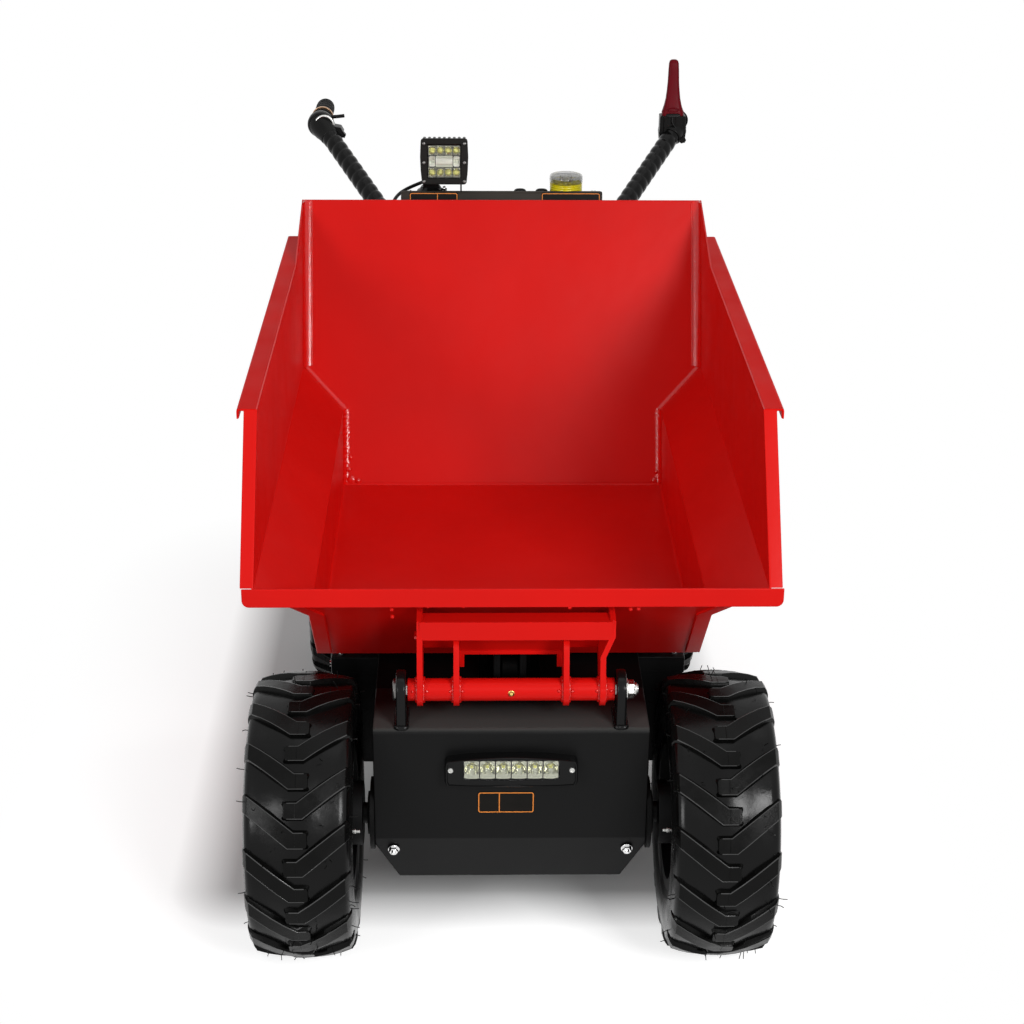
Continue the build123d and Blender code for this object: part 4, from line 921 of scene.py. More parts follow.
def reflector_cup(piece, place, width, height, depth, lamp_radius):
    """A square-mouthed reflector that narrows to its lamp."""
    width, height = width - 1.5, height - 1.5
    rings = [
        tile_ring(width, height, -depth - 1),
        tile_ring(width, height, 0),
        tile_ring(width - 0.8, height - 0.8, 0),
        disc_ring(min(width, height) * 0.44, -depth * 0.28),
        disc_ring(min(width, height) * 0.33, -depth * 0.68),
        disc_ring(lamp_radius + 0.3, -depth),
    ]
    piece.rings([[place @ Vector(point) for point in ring] for ring in rings])


# ---------------------------------------------------------------- work lamp

LAMP_TILT = 10                # degrees
LAMP_LENS = middle("work_lamp_lens")
LAMP_FRAME_SIZE = (87, 82)
LAMP_WINDOW = 58
LAMP_CELLS = -3.6             # level of its reflectors' mouths
LAMP_FOOT = (-129, 1104)      # across, and back from the front axle
LAMP_POST = (-73.9, 1092)     # the thin post beside it
LAMP_NUT = (-104.5, 1100)


def lamp_place():
    """A place at the middle of the lamp's window: x across, y up its face, z ahead."""
    tilt = Matrix.Rotation(math.radians(-LAMP_TILT), 4, "X")
    return at(*LAMP_LENS) @ tilt @ fronted() @ at(0, 0, 3.5)


def make_lamp_casting(place):
    """The lamp's frame with its window, its body, and the fins behind and beside it."""
    wide, high = LAMP_FRAME_SIZE
    half = [(wide / 2 - 3.5, -high / 2), (wide / 2 - 1, -high * 0.2), (wide / 2, high * 0.1),
            (wide / 2 - 1.5, high / 2)]
    frame = [(-half[0][0], half[0][1])] + half + [(-x, y) for x, y in reversed(half[1:])]
    outer = rounded(frame, 6, 4)
    window = [point * reach_of(point.x, point.y, LAMP_WINDOW, LAMP_WINDOW) for point in outer]
    levels = ((outer, -12, 1.0), (outer, -1.5, 1.0), (outer, 0, 0.975),
              (window, 0, 1.075), (window, -2.5, 1.0), (window, -12, 0.98))
    casting = Piece()
    casting.loop([[place @ Vector((p[0] * share, p[1] * share, level)) for p in outline]
                  for outline, level, share in levels])
    casting.prism(rectangle(wide - 6, high - 8, 6), -40, -12, place @ at(0, -1, 0))
    top = high / 2
    for x in range(-36, 37, 9):
        cap = [(x - 2.8, top - 7), (x + 2.8, top - 7), (x + 2.6, top + 0.5), (x - 2.6, top + 0.5)]
        casting.prism(rounded(cap, 1.8, 4), -46, -3.5, place)
        casting.prism(rounded(slab(x - 1.6, 4 - top, x + 1.6, top - 5), 0.8, 2), -51.5, -38, place)
    for side in (-1, 1):
        for y in (-24, -12, 0, 12, 24):
            fin = [(side * 38, y - 1.7), (side * 42, y - 1.2), (side * 42, y + 1.2), (side * 38, y + 1.7)]
            casting.prism(rounded(fin, 0.6, 2), -40, -13, place)
    casting.finish("work_lamp_casting", "lamp", bevel=0.6, replaces=["work_lamp_housing"])


def make_lamp_cells(place):
    """Two rows of reflector cups with their chips, and the strip light between them."""
    tray = Piece()
    tray.prism(rectangle(LAMP_WINDOW, LAMP_WINDOW), -14, -12.6, place)
    tray.finish("work_lamp_tray", "lamp", sharp=30)
    mirror = Piece()
    chips = Piece()
    cup = LAMP_WINDOW / 4
    for y in (19.5, -19.5):
        for i in range(4):
            spot = place @ at((i - 1.5) * cup, y, LAMP_CELLS)
            reflector_cup(mirror, spot, cup, 18, 8, 2.6)
            chips.lathe([(3.9, -8.4), (3.9, -7.2), (2.9, -5.8), (1.0, -5.2)], spot, 20)
    mirror.prism(slab(-15.4, -10, 15.4, -7), -9, -3.2, place)
    mirror.prism(slab(-15.4, 7, 15.4, 10), -9, -3.2, place)
    mirror.finish("work_lamp_reflector", "reflector", sharp=30)
    strip = Piece()
    for side in (-1, 1):
        reflector_cup(strip, place @ at(side * 22, 0, LAMP_CELLS), 13, 20, 8, 3)
    half = [(-7.5, -9), (-7.2, -6), (-5.5, -4.4), (-2.5, -3.5)]
    strip.prism(half + [(-x, y) for x, y in reversed(half)], -15.2, 15.2, place @ across())
    strip.finish("work_lamp_strip", "pearl", bevel=0.5)
    chips.finish("work_lamp_chips", "chip", sharp=60)


def make_lamp_fittings(place):
    """The bezel's screws, and the lamp's foot, its post and its nut on the console."""
    screws = Piece()
    for x in (-36.5, 36.5):
        for y in (32, -2, -35.5):
            screws.lathe([(2.7, -1), (2.7, 0.6), (2.2, 1.4), (1.2, 1.6), (1.0, 0.9)],
                         place @ at(x, y, 0), 20)
    screws.finish("work_lamp_screws", "dull", sharp=40)

    across_foot, back = LAMP_FOOT
    foot_y = behind(back)
    seat = console_up(foot_y - 6)
    plan = [(-21, -2), (21, -2), (19, 4), (15, 8), (15, 30), (-14, 30), (-14, 8), (-18, 4)]
    bracket = Piece()
    bracket.prism(rounded([(across_foot + x, seat + up) for x, up in plan], 2.5), -14, 14,
                  at(0, foot_y, 0) @ fronted())
    bracket.lathe([(26, -4), (25, 1), (20, 4), (17, 9)], at(across_foot, foot_y, seat + 1), 36)
    post_x, post_back = LAMP_POST
    bracket.bar([(post_x, behind(post_back), seat + up) for up in (-2, 32)], 1.5, 10)
    bracket.finish("work_lamp_foot", "gloss_black", bevel=0.8, replaces=["work_lamp_bracket"])
    nut = Piece()
    nut_x, nut_back = LAMP_NUT
    nut.lathes(at(nut_x, behind(nut_back), seat),
               ([(6.2, -1), (6.2, 1.2), (5.6, 1.6)], 24),
               ([(4.4, 1.2), (4.8, 1.8), (4.8, 6.2), (4.2, 6.8)], 6),
               ([(2.6, 6), (2.6, 9.4), (2.0, 10)], 16))
    nut.finish("work_lamp_nut", "chrome", sharp=30)


make_lamp_casting(lamp_place())
make_lamp_cells(lamp_place())
make_lamp_fittings(lamp_place())

# ---------------------------------------------------------------- beacon

BEACON_PINS = (-2.2, -0.85, 0.6, 2.5)     # their turns round the beacon, in radians
PIN_CIRCLE = 12.4


def make_beacon():
    """The flashing beacon: yellow base, clear thick-walled cap and its light inside."""
    low, high = box("beacon_base")
    centre = (low + high) / 2
    spot = at(centre.x, centre.y, 0)
    split, top = high.z + 3, box("beacon_lens")[1].z
    radius = (high.x - low.x) / 2
    profile = [(radius - 1, low.z + 1)]
    for level in range(int(low.z) + 4, int(split) - 2, 4):
        profile += [(radius - inset, level + rise) for inset, rise in (
            (0.9, 0), (0.4, 0.8), (0.4, 2.4), (0.9, 3.2))]
    profile += [(radius - 0.8, split - 1.5), (radius - 2.2, split - 0.4), (11, split), (10, split + 1.2)]
    foot = Piece()
    foot.lathe(profile, spot, 64)
    foot.finish("beacon_body", "yellow", sharp=45, replaces=["beacon_base"])
    cap = Piece()
    cap.tube([(radius, split - 1), (radius, top - 3), (radius - 1, top - 1), (radius - 3, top - 0.2),
              (0.4, top), (0.4, top - 2), (radius - 5.5, top - 2.3), (radius - 2.6, top - 4),
              (radius - 2.2, top - 6), (radius - 2.2, split - 1)], spot, 64)
    cap.finish("beacon_cap", "dome", sharp=50, replaces=["beacon_lens"])
    core = Piece()
    core.lathe([(8.8, split + 0.8), (8.8, top - 4), (8, top - 3.2)], spot, 40)
    core.finish("beacon_core", "pearl", sharp=40)
    pins = Piece()
    for turn in BEACON_PINS:
        pin = at(centre.x + PIN_CIRCLE * math.cos(turn), centre.y + PIN_CIRCLE * math.sin(turn), 0)
        pins.lathe([(1.3, split - 0.5), (1.3, top - 3.4), (1.0, top - 3)], pin, 12)
    pins.finish("beacon_pins", "chrome")


make_beacon()

# ---------------------------------------------------------------- console

PLATE_LINE = 1.4              # width of the orange lines,
PLATE_EDGE = 1.5              # their distance from the plate's edge,
PLATE_CORNER = 4              # and the plate's corner radius
SOCKET_HEAD = ((5, -1), (5, 1.6), (4, 3), (1.8, 3.2), (1.5, 1.6))       # radius, height


def blank_plate(name, place, width, height, divider=None):
    """A blank black plate with a thin raised orange border, and a divider if asked for."""
    plate = Piece()
    plate.prism(rectangle(width, height, PLATE_CORNER), -0.6, 0.45, place)
    plate.finish(f"{name}_plate", "label", bevel=0.2)
    wide, high = width - 2 * PLATE_EDGE, height - 2 * PLATE_EDGE
    outer = rectangle(wide, high, PLATE_CORNER, 6)
    inner = rectangle(wide - 2 * PLATE_LINE, high - 2 * PLATE_LINE, PLATE_CORNER - PLATE_LINE, 6)
    loops = ((outer, 0.3), (outer, 0.75), (inner, 0.75), (inner, 0.3))
    border = Piece()
    border.loop([[place @ Vector((p[0], p[1], level)) for p in outline] for outline, level in loops])
    if divider is not None:
        tall = height / 2 - 1.8
        line = slab(divider - PLATE_LINE / 2, -tall, divider + PLATE_LINE / 2, tall)
        border.prism(line, 0.3, 0.72, place)
    border.finish(f"{name}_border", "orange")


def console_front(x, up):
    """A place on the console's leaning front, with Z ahead."""
    lean = (CONSOLE_EDGE - CONSOLE_TOE) / (CONSOLE_TOP - CONSOLE[0].z)
    y = behind(CONSOLE_EDGE) - (CONSOLE_TOP - up) * lean
    return facing((x, y, up), (0, -1, lean)) @ Matrix.Rotation(math.pi, 4, "Z")


KEY_SWITCH = (-10, 1190)      # across, and back from the front axle, as are the next
STOP_KNOB = (78, 1185)
BUTTONS = ((34, 1113), (73.5, 1113))
BUTTON_RADIUS = 11.5
DISPLAY = (-90, 1170)


def make_console_shell():
    """The console's box, rounded at its edges and at its ends."""
    corners = ((CONSOLE_EDGE, CONSOLE_TOP), (CONSOLE_REAR, CONSOLE_REAR_TOP),
               (CONSOLE_HEEL, CONSOLE_UNDER), (CONSOLE_TOE, CONSOLE_UNDER))
    section = rounded([(behind(back), up) for back, up in corners], 7, 4)
    mid = Vector((behind(CONSOLE_CORE[0]), CONSOLE_CORE[1]))
    half = CONSOLE[1].x
    ends = ((half, 0.955), (half - 1.2, 0.985), (half - 5, 1.0))
    shell = Piece()
    shell.rings([[Vector((x, mid.x + (p[0] - mid.x) * share, mid.y + (p[1] - mid.y) * share))
                  for p in section]
                 for x, share in [(-x, share) for x, share in ends] + list(reversed(ends))])
    shell.finish("console_shell", "console", sharp=40, replaces=["console_box"])


def make_console_fittings():
    """The console's blank plates, buttons, stop knob, key switch, dark display and bolts."""
    blank_plate("left_sign", console_front(-123.5, 811), 89, 52, -7)
    blank_plate("right_sign", console_front(125.5, 811), 108, 52)
    trim = Piece()
    for x, back in BUTTONS:
        trim.lathe([(BUTTON_RADIUS + wide, level) for wide, level in (
            (1.5, -1), (1.5, 1.2), (0, 2.2), (-0.5, 6), (-3, 8.2), (3 - BUTTON_RADIUS, 9))],
            console_place(x, back), 40)
    big, key = console_place(*STOP_KNOB), console_place(*KEY_SWITCH)
    trim.lathe([(16, -1), (16, 2), (11, 3), (11, 7)], big, 40)
    trim.prism(circle(9.5, 8), 0, 2.2, key)
    trim.lathe([(9, -1), (9, 3), (8, 3.6), (4, 3.8)], key, 32)
    trim.finish("console_fittings", "plastic", bevel=0.5, replaces=["control_knobs"])
    stop = Piece()
    stop.lathe([(10, 5), (19, 6.5), (20, 8.5), (20, 11), (18, 13.6), (10, 14.6), (2, 14.9)], big, 48)
    stop.finish("console_stop_knob", "crimson", sharp=60)
    keys = Piece()
    keys.prism(rectangle(2.2, 12, 0.5, 2), 3, 9.5, key)
    keys.prism(rectangle(2.0, 18, 0.9, 3), 9, 17, key)
    keys.lathe([(6.6, 2.4), (6.6, 4.4), (5.8, 4.8), (1.6, 4.9)], key, 32)
    keys.finish("console_key", "chrome", bevel=0.25)
    place = console_place(*DISPLAY)
    screen = Piece()
    screen.prism(rectangle(98, 52, 6), -1, 3.2, place)
    screen.finish("console_display", "plastic", bevel=0.9)
    glass = Piece()
    glass.prism(rectangle(78, 34, 2), 2.4, 3.7, place)
    glass.finish("console_display_glass", "label", bevel=0.3)
    bolts = Piece()
    for x in (-168, 168):
        for back in (1100, 1215):
            bolts.lathe(SOCKET_HEAD, console_place(x, back), 24)
    bolts.finish("console_bolts", "zinc", sharp=40)


make_console_shell()
make_console_fittings()

# ---------------------------------------------------------------- light bar

BAR_ARCH = 6                  # how far the casting's top falls to its ends
BAR_STEPS = 24
BAR_CELLS = 6


def make_light_bar():
    """The marker light bar: arched casting, six reflectors behind a clear lens, two screws."""
    low, high = box("light_bar_housing")
    lens_low, lens_high = box("light_bar_lens")
    half = (high.x - low.x) / 2
    deep = high.y - low.y
    floor, top = low.z, high.z
    place = at(0, low.y, 0) @ fronted()
    sweep = [-1 + 2 * i / BAR_STEPS for i in range(BAR_STEPS + 1)]
    end = [(half - 1.2, top - BAR_ARCH - 3), (half, top - BAR_ARCH - 9), (half, floor + 9),
           (half - 2.5, floor + 3)]
    outline = [(t * (half - 5), top - BAR_ARCH * abs(t) ** 2.4) for t in sweep] + end
    outline += [(t * (half - 8), floor + 3 * abs(t) ** 3) for t in reversed(sweep)]
    outline += [(-x, z) for x, z in reversed(end)]
    wide = 2 * (lens_high.x - 1)
    tall = (lens_high.z - 1) - (lens_low.z + 1)
    mid = Vector((0, (lens_low.z + 1 + lens_high.z - 1) / 2))
    hole = []
    for x, z in outline:
        reach = reach_of(x, z - mid.y, wide, tall)
        hole.append((x * reach, mid.y + (z - mid.y) * reach))

    def ring(points, level, grow):
        """The points at a level, moved out from the bar's middle."""
        pulled = []
        for x, z in points:
            out = Vector((x, z - mid.y))
            out += out.normalized() * grow
            pulled.append(place @ Vector((out.x, mid.y + out.y, level)))
        return pulled

    levels = ((outline, -deep, 0), (outline, -4, 0), (outline, -1.2, -0.5), (outline, 0, -1.8),
              (outline, 0, -3.4), (outline, -1.6, -4.4), (hole, -1.6, 2.6), (hole, -1.8, 1.4),
              (hole, -3.2, 0), (hole, 2 - deep, 0))
    casting = Piece()
    casting.loop([ring(*level) for level in levels])
    casting.finish("light_bar_casting", "gloss_black", slot="lamp_black", sharp=50,
                   replaces=["light_bar_housing"])
    mirror = Piece()
    chips = Piece()
    cell = wide / BAR_CELLS
    for i in range(BAR_CELLS):
        spot = place @ at(-wide / 2 + cell * (i + 0.5), mid.y, -4.5)
        reflector_cup(mirror, spot, cell, tall, 9, 3.2)
        chips.prism(rectangle(4.6, 4.6, 0.6), -9.6, -8.6, spot)
    mirror.finish("light_bar_reflectors", "reflector", sharp=30)
    chips.finish("light_bar_chips", "chip", bevel=0.2)
    screws = Piece()
    for side in (-1, 1):
        spot = place @ at(side * (half - 8.5), (floor + top) / 2 + 4, -1.8)
        screws.lathe([(4.4, -0.6), (4.4, 1.0), (3.6, 2.2), (2.0, 2.5), (1.9, 1.0)], spot, 28)
    screws.finish("light_bar_screws", "zinc", sharp=40)


make_light_bar()

# ---------------------------------------------------------------- bucket

LIP = box("bucket_lip")
LIP_SHIFT = Vector((2, 0, 0))
LIP_CORNER = 10
FLOOR_UP = box("bucket_floor")[0].z + SHEET
RIM_TOP_UP = box("bucket_back")[1].z
NARROW, WIDE = 284, 355       # half the bucket's inner width, below and above its step
STEP_LOW, STEP_HIGH = 495, 565        # where the step starts and ends, up
WALL_FOOT, WALL_TOP = 820, 1030       # the back wall's inner face at the floor and rim, back
WALL_LEAN = (WALL_TOP - WALL_FOOT) / (RIM_TOP_UP - FLOOR_UP)
CORNER_LINE = ((NARROW, FLOOR_UP), (NARROW, STEP_LOW), (WIDE, STEP_HIGH), (WIDE, RIM_TOP_UP - 1))
RAMP_FOOT = 184               # where the floor's ramp starts, back
RAMP_RISE = 1.0543            # what it rises,
RAMP_LENGTH = 1.453           # and its length, for each step ahead
RAMP_RUN = Vector((-RAMP_FOOT, LIP[1].z - FLOOR_UP)).normalized()      # back, up: along it
RAMP_OUT = Vector((-RAMP_RUN.y, RAMP_RUN.x))      # out of its underside
DRIPS = (                     # at the foot of the back wall: across, above the floor, radius
    (-270, 7, 9), (-258, 5, 6), (-275, 24, 6), (-272, 44, 4), (272, 6, 6), (276, 20, 4),
)
TACKS = (                     # under the ramp: across, up
    (-116, 537), (-67, 537), (80, 535), (-166, 529), (-166, 512), (176, 530), (165, 529),
)
TUBE_TACKS = (-150, -138, -118, -85, -68, 67, 86, 120, 140)   # across, on the pivot tube
ARMS = (-128, -77, 77, 128)   # the hinge arms' middles, across,
ARM_HALF = 4                  # and half their thickness


def wall_y(up):
    """The row frame's Y of the back wall's inner face at a height."""
    return behind(WALL_FOOT + (up - FLOOR_UP) * WALL_LEAN)


def stepped(points, step):
    """The points with more between them, at most a step apart."""
    line = []
    for start, end in zip(points, points[1:]):
        count = max(1, math.ceil((end - start).length / step))
        line += [start.lerp(end, i / count) for i in range(count)]
    return line + [points[-1]]


def corner_bead(piece, line, first, second, size, lump=0.0, pitch=6.0):
    """A concave bead in the corner of two walls, which run from it in two directions."""
    rings = []
    first, second = Vector(first), Vector(second)
    for i, corner in enumerate(stepped([Vector(point) for point in line], 2.0)):
        reach = size + lump * abs(math.sin(math.pi * i * 2.0 / pitch)) + rng.uniform(0, lump * 0.4)
        ring = [corner - (first + second) * 0.8]
        for step in range(7):
            turn = math.pi / 2 * step / 6
            ring.append(corner + (first + second) * reach
                        - (second * math.cos(turn) + first * math.sin(turn)) * reach)
        rings.append(ring)
    piece.rings(rings)


def weld_ring(piece, centre, side, radius, bead):
    """A lumpy weld all round a bar along X, against a plate's face on one side."""
    loop = []
    for step in range(49):
        turn = 2 * math.pi * step / 48
        loop.append(centre + Vector((side * bead * 0.35, radius * math.cos(turn), radius * math.sin(turn))))
    piece.bar(loop, bead, 8, lambda i, turn: 0.25 * bead * math.sin(i * 1.9))


def fill_corners(rough):
    """The bucket's filleted corners and floor seams; the rougher beads go to the rough piece."""
    smooth = Piece()
    seams = Piece()
    wall = wall_y(FLOOR_UP)
    for _, side in SIDES:
        corners = [(side * x, wall_y(up), up) for x, up in CORNER_LINE]
        ahead, inward = (0, -1, 0), (-side, 0, 0)
        corner_bead(smooth, corners[2:], ahead, inward, 15)
        corner_bead(smooth, corners[1:3], ahead, inward, 7)
        corner_bead(rough, corners[:2], ahead, inward, 8, lump=2.4, pitch=9)
        foot = [(side * NARROW, behind(RAMP_FOOT), FLOOR_UP), (side * NARROW, wall, FLOOR_UP)]
        corner_bead(seams, foot, (0, 0, 1), inward, 5)
        smooth.bar([(side * (x - 15), wall_y(up) - 0.2, up) for x, up in CORNER_LINE[2:]], 1.2, 8)
    corner_bead(seams, [(-NARROW, wall, FLOOR_UP), (NARROW, wall, FLOOR_UP)], (0, 0, 1), (0, -1, 0), 4)
    seams.finish("bucket_seams", "red", "bucket", sharp=50)
    smooth.finish("bucket_fillets", "weld", "bucket", sharp=50)
    for x, above, size in DRIPS:
        spot = facing((x, wall_y(FLOOR_UP + above), FLOOR_UP + above), (0, -1, 0.25))
        rough.lathe([(size, -1), (size * 0.9, 1), (size * 0.65, 2.4), (size * 0.25, 3)], spot, 18)


def make_lip():
    """The lip's band across the front, with its two lower corners rounded."""
    low, high = (corner + LIP_SHIFT for corner in LIP)
    plan = [(low.x, high.z)]
    for x, side, steps in ((low.x + LIP_CORNER, -1, range(7)), (high.x - LIP_CORNER, 1, range(6, -1, -1))):
        for turn in (math.pi / 12 * step for step in steps):
            plan.append((x + side * LIP_CORNER * math.cos(turn),
                         low.z + LIP_CORNER - LIP_CORNER * math.sin(turn)))
    plan.append((high.x, high.z))
    lip = Piece()
    lip.prism(plan, low.y - high.y, 0, fronted(low.y))
    lip.finish("bucket_lip_band", "red", "bucket", bevel=1.4, steps=3, replaces=["bucket_lip"])


def make_ramp_details():
    """The strips along the ramp's edges and the tacks under it."""
    strips = Piece()
    out = Vector((0, RAMP_OUT.x * 3.2, -abs(RAMP_OUT.y) * 3.2))
    for _, side in SIDES:
        rings = []
        for up in (538, STEP_LOW, 420, FLOOR_UP + 6):
            reach = NARROW + max(0, up - STEP_LOW) * (WIDE - NARROW) / (STEP_HIGH - STEP_LOW) + 2
            back = RAMP_FOOT - (up - FLOOR_UP + SHEET * RAMP_LENGTH) / RAMP_RISE
            rings.append([Vector((side * x, behind(back), up)) + out * share for x, share in (
                (reach - 22, -0.2), (reach - 22, 1), (reach, 1), (reach, -0.2))])
        strips.rings(rings)
    strips.finish("ramp_strips", "red", "bucket", bevel=1.2)
    tacks = Piece()
    for x, up in TACKS:
        back = -1 if up > 532 else -3 + (540 - up) * 0.7
        tacks.lathe([(2.8, -3), (2.6, 0.2), (1.8, 1.0), (0.5, 1.3)],
                    facing((x, behind(back), up), (0, -0.8, -0.5)), 12)
    tacks.finish("bucket_tacks", "red", "bucket", sharp=60)


def weld_hinge(rough):
    """The tacks on the pivot tube, and the welds round it and above it at each hinge arm."""
    for x in TUBE_TACKS:
        spot = facing((x, PIVOT.y, PIVOT.z), (0, -0.94, 0.34))
        rough.lathe([(2.5, 13), (2.3, 17.0), (1.5, 18.0), (0.4, 18.4)], spot, 14)
    for arm in ARMS:
        for side in (-1, 1):
            face = arm + side * ARM_HALF
            weld_ring(rough, Vector((face, PIVOT.y, PIVOT.z)), side, 16.6, 2.2)
            root = Vector((face, behind(6), 486))
            rough.bar([root + Vector((side * 1.4, y, 0)) for y in (0, 16)], 2.4, 8)


def make_hinge_details():
    """The rim's caps, the apron between the hinge arms and the tube's grease nipple."""
    caps = Piece()
    top = 772
    for name, side in SIDES:
        low, high = box(f"bucket_side_{name}")
        inner, outer = WIDE + 2, max(high.x, -low.x)
        edge = [(inner, top - 2), (inner, top + 0.5), (outer - 3.4, top + 0.5), (outer - 1.4, top),
                (outer, top - 1.4), (outer + 0.4, top - 3.6), (outer + 0.4, top - 14.4),
                (outer - 2, top - 14.4), (outer - 2, top - 2)]
        caps.rings([[Vector((side * x, behind(back), z)) for x, z in edge] for back in (147.2, 1015.6)])
    caps.finish("bucket_rim_caps", "rim", "bucket", bevel=0.5)

    apron = Piece()
    outer_foot = ((51, 449), (48, 448))
    for low, high, foot in ((-73, 73, ((53.5, 444), (50.5, 442))), (81, 124, outer_foot),
                            (-124, -81, outer_foot)):
        section = [(behind(back), up) for back, up in ((26, 489), (29, 489), *foot)]
        apron.prism(section, low, high, across())
    apron.finish("hinge_apron", "red", "bucket", bevel=0.8)

    nipple = Piece()
    nipple.lathe([(4.4, -1.5), (4.4, 0.8), (3.0, 1.6), (2.6, 2.4), (2.9, 4.2), (1.8, 5.6), (1.0, 5.8)],
                 facing((0, PIVOT.y - 15.5, PIVOT.z + 2), (0, -1, 0.12)), 16)
    nipple.finish("grease_nipple", "brass", "bucket", sharp=40)


def make_bucket_details():
    """Everything on the bucket; its rough welds are one piece."""
    rough = Piece()
    fill_corners(rough)
    make_lip()
    make_ramp_details()
    weld_hinge(rough)
    rough.finish("bucket_welds", "weld", "bucket", sharp=60)
    make_hinge_details()


make_bucket_details()

# ---------------------------------------------------------------- hinge on the frame

LUG_SHEET = 14                # the pivot lugs' thickness


def make_pivot_ends():
    """The pivot bolt's head, washers, nut and thread, and the welds round its lugs."""
    low, high = box("pivot_lugs")
    left = outward(-1, low.x) @ at(PIVOT.y, -PIVOT.z, 0)
    right = outward(1, high.x) @ at(PIVOT.y, PIVOT.z, 0)
    head = Piece()
    # The head is darker, duller steel than the zinc nut: partly painted shade, as this end of the bolt sits
    # in shade.
    head.lathe([(15.5, -1), (15.5, 3.0), (14.4, 4.4), (12.0, 5.2), (9, 5.4)], left, 40)
    head.finish("pivot_bolt_head", "dull", bevel=0.3)
    bolt = Piece()
    bolt.lathes(right,
                ([(15.6, -1), (15.6, 2.2), (15, 2.8)], 36),
                ([(11.8, 2.6), (13.2, 3.6), (13.2, 10.8), (11.8, 12)], 6),
                ([(9.4, 12), (9.4, 14.6), (8.4, 15.8), (7.4, 15.9)], 30),
                ([(6.6, 14), (6.6, 17.0), (5.8, 17.6)], 20),
                ([(9.8, -30), (9.8, 0)], 32))
    bolt.lathe([(9.8, 0), (9.8, 30)], across(low.x) @ at(PIVOT.y, PIVOT.z, 0), 32)
    bolt.finish("pivot_bolt_ends", "zinc", bevel=0.4, replaces=["pivot_bolt"])
    beads = Piece()
    for x in (low.x, high.x - LUG_SHEET):
        outline = rounded(slab(x, low.y, x + LUG_SHEET, high.y), 3, 3)
        path = [Vector((x, y, COVER[1].z + 1)) for x, y in outline]
        beads.bar(stepped(path + path[:1], 2.5), 3.2, 8, lambda i, turn: 0.9 * abs(math.sin(i * 1.3)))
    beads.finish("lug_welds", "gloss_black", sharp=60)


make_pivot_ends()

# ---------------------------------------------------------------- front cover


def make_cover_details():
    """The cover's blank plate and the bolts through its hem."""
    blank_plate("cover_sign", fronted(COVER[0].y) @ at(-6.9, 242, 0), 82, 36, -9.5)
    bolts = Piece()
    for x in (-168.4, 168.4):
        bolts.bolt(facing((x, behind(-28.5), 161.5), (0, -0.955, -0.295)), 7.6)
    bolts.finish("cover_bolts", "chrome", bevel=0.3)


make_cover_details()

# ---------------------------------------------------------------- lift cylinder

BASE_PIN = Vector((0, behind(400), 120))
ROD_PIN = Vector((0, behind(110), 385))
BARREL_END = 280              # from the base pin
PORTS = (62, BARREL_END - 30)


def make_rod():
    """The cylinder's chrome rod with its black eye, and the gland and ports of the barrel."""
    place = facing(BASE_PIN, (ROD_PIN - BASE_PIN).normalized())
    length = (ROD_PIN - BASE_PIN).length
    rod = Piece()
    rod.lathe([(10.8, 100), (10.8, length - 30)], place, 32)
    rod.finish("lift_rod_bar", "chrome", "lift_rod", slot="cylinder_chrome", sharp=40,
               replaces=["lift_rod"])
    eye = Piece()
    eye.lathe([(11, length - 34), (13.5, length - 30), (14, length - 14)], place, 24)
    eye.tube([(8.2, -12), (8.2, 12), (14.6, 12), (15.8, 10.8), (15.8, -10.8), (14.6, -12)],
             across() @ at(ROD_PIN.y, ROD_PIN.z, 0), 40)
    # The eye takes the darker inner black, painted shade, as does the gland below.
    eye.finish("lift_rod_eye", "inner", "lift_rod", bevel=0.4)
    gland = Piece()
    gland.lathe([(radius, BARREL_END + height) for radius, height in (
        (27.2, -16), (28.4, -15), (28.4, -3), (26, 1), (15, 3), (12.2, 4))], place, 48)
    gland.lathe([(27, 38), (28.2, 40), (28.2, 46), (27, 48)], place, 48)
    for height in PORTS:
        gland.lathes(place @ at(0, 0, height) @ Matrix.Rotation(math.radians(90), 4, "X"),
                     ([(9, 22), (9, 32), (8, 33)], 24), ([(7.4, 32), (7.4, 40), (6.6, 41)], 6))
    # Darker inner black: painted shade.
    gland.finish("lift_gland", "inner", "lift_barrel", bevel=0.6)


make_rod()

# ---------------------------------------------------------------- wheel details

WHEELS = {                    # share of a front hub's radii, wheel bolts, their size, rivets
    "front": (1.0, 5, 9, 10),
    "rear": (0.74, 4, 7.5, 8),
}
DISC = (-4, 10)               # the wheel disc's inner and outer faces, out from its middle
VALVE = (-93, 28)             # the valve's place ahead of and above the wheel's middle


